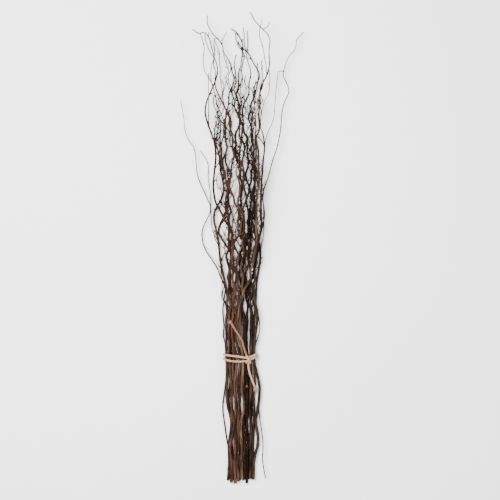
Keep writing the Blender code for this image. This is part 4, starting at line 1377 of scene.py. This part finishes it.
def bark_finish(name, dark, middle, light, young):
    """Dry willow bark: streaks along the stem, lighter patches, pale pores and darker young
    twigs, and cut wood with rings and a pith."""
    finish = Finish(name, BARK_ROUGHNESS)
    grain = finish.attribute("grain", "Vector")
    tone = finish.attribute("tone", "Fac")
    age = finish.attribute("age", "Fac")
    streak = finish.noise(finish.stretched(grain, STREAKS), 1.0, 5.0)
    patch = finish.noise(finish.stretched(grain, PATCHES), 1.0, 3.0)
    pore = finish.noise(finish.stretched(grain, PORES), 1.0, 1.0)
    colour = finish.mix((streak + 0.14 * tone).clip(0.48, 0.67), dark, middle)
    colour = finish.mix((patch + 0.30 * tone).clip(0.56, 0.82) * 0.85, colour, light)
    colour = finish.mix(pore.clip(0.63, 0.72) * 0.5, colour, PORE)
    colour = finish.mix((age * young).clip(0, 1), colour, YOUNG_BARK)
    section = finish.stretched(grain, (1, 1, 0))
    reach = finish.node("ShaderNodeVectorMath", {"operation": "LENGTH"}, {0: section}, 1)
    rings = (reach * WOOD_RINGS).math("SINE") * 0.5 + 0.5
    wood = finish.mix(rings * 0.5, CUT_WOOD, CUT_RING)
    wood = finish.mix(reach < PITH_REACH, wood, PITH)
    colour = finish.mix(finish.attribute("bare", "Fac"), colour, wood)
    finish.feed("Base Color", colour)
    finish.feed("Roughness", streak * 0.35 + 0.36)
    finish.bump(streak * 0.8 + pore * 0.35, *BARK_BUMP)
    return finish.material


def cord_finish():
    """Natural fibre: fine fibres along each strand, in lighter and darker stretches."""
    finish = Finish("cord_fibre", CORD_ROUGHNESS)
    grain = finish.attribute("grain", "Vector")
    tone = finish.attribute("tone", "Fac")
    fibre = finish.noise(finish.stretched(grain, CORD_FIBRES), 1.0, 3.0)
    patch = finish.noise(finish.stretched(grain, CORD_PATCHES), 1.0, 2.0)
    colour = finish.mix((fibre + 0.16 * tone).clip(0.44, 0.72), CORD_DARK, CORD_MIDDLE)
    colour = finish.mix((patch + 0.5 * tone).clip(0.55, 1.05) * 0.8, colour, CORD_LIGHT)
    finish.feed("Base Color", colour)
    finish.feed("Roughness", fibre * 0.2 + 0.72)
    finish.bump(fibre, *CORD_BUMP)
    return finish.material


def floor_finish():
    """A pale floor, mottled very slightly."""
    finish = Finish("pale_floor", FLOOR_ROUGHNESS)
    mottle = finish.noise(finish.node("ShaderNodeTexCoord", output="Object"), 3.0, 2.0)
    finish.feed("Base Color", finish.mix(mottle, *FLOOR_COLOURS))
    return finish.material


# The room


def add_floor():
    mesh = bpy.data.meshes.new("floor")
    half = FLOOR_SIZE / 2
    signs = ((-1, -1), (1, -1), (1, 1), (-1, 1))
    corners = [(x * half, y * half, FLOOR_HEIGHT) for x, y in signs]
    mesh.from_pydata(corners, [], [(0, 1, 2, 3)])
    floor = bpy.data.objects.new("floor", mesh)
    mesh.materials.append(floor_finish())
    bpy.context.scene.collection.objects.link(floor)


def add_light(name, place, size, power):
    light = bpy.data.lights.new(name, "AREA")
    light.shape = "RECTANGLE"
    light.size, light.size_y = size
    light.energy = power
    lamp = bpy.data.objects.new(name, light)
    lamp.location = place
    lamp.rotation_euler = (-Vector(place)).to_track_quat("-Z", "Y").to_euler()
    bpy.context.scene.collection.objects.link(lamp)


def add_camera(shift):
    """Straight down on the bundle, with the tips at the top of the picture."""
    camera = bpy.data.cameras.new("camera")
    camera.sensor_width = SENSOR
    camera.lens = SENSOR * CAMERA_HEIGHT / (PICTURE * GRID)
    camera.clip_end = 20
    obj = bpy.data.objects.new("camera", camera)
    middle = np.array(PICTURE_MIDDLE) * GRID - shift[:2]
    obj.location = (*middle, CAMERA_HEIGHT + CAMERA_LEVEL)
    bpy.context.scene.collection.objects.link(obj)
    bpy.context.scene.camera = obj


def add_world():
    world = bpy.data.worlds.new("studio")
    world.use_nodes = True
    sky = world.node_tree.nodes["Background"]
    sky.inputs["Color"].default_value = (1, 1, 1, 1)
    sky.inputs["Strength"].default_value = WORLD_STRENGTH
    bpy.context.scene.world = world


def main():
    strands = [strand for index, stem in enumerate(STEMS) for strand in grow_stem(index, stem)]
    strands, shift = centred(bend_clear(strands))
    finishes = {name: bark_finish(name, *colours) for name, colours in BARKS.items()}
    groups = [[s for s in strands if s.stem == index] for index in range(len(STEMS))]
    all_lines = [stem_lines(index, group) for index, group in enumerate(groups)]
    low, high = np.array(BEFORE)
    for index, stem in enumerate(STEMS):
        clear = clear_test(index, all_lines, low, high)
        obj = make_stem(index, stem, groups[index], all_lines[index], clear)
        slot = SLOTS.get(stem.name, "bark")
        obj.data.materials.clear()
        obj.data.materials.append(finishes[slot])
        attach(obj, "root")
        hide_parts(stem.name)
    tie = make_tie_fine(strands, shift)
    tie.data.materials.clear()
    tie.data.materials.append(cord_finish())
    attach(tie, "root")
    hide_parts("tie")
    add_floor()
    add_world()
    add_light("key", KEY_PLACE, KEY_SIZE, KEY_POWER)
    add_light("fill", FILL_PLACE, FILL_SIZE, FILL_POWER)
    add_camera(shift)
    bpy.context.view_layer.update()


main()
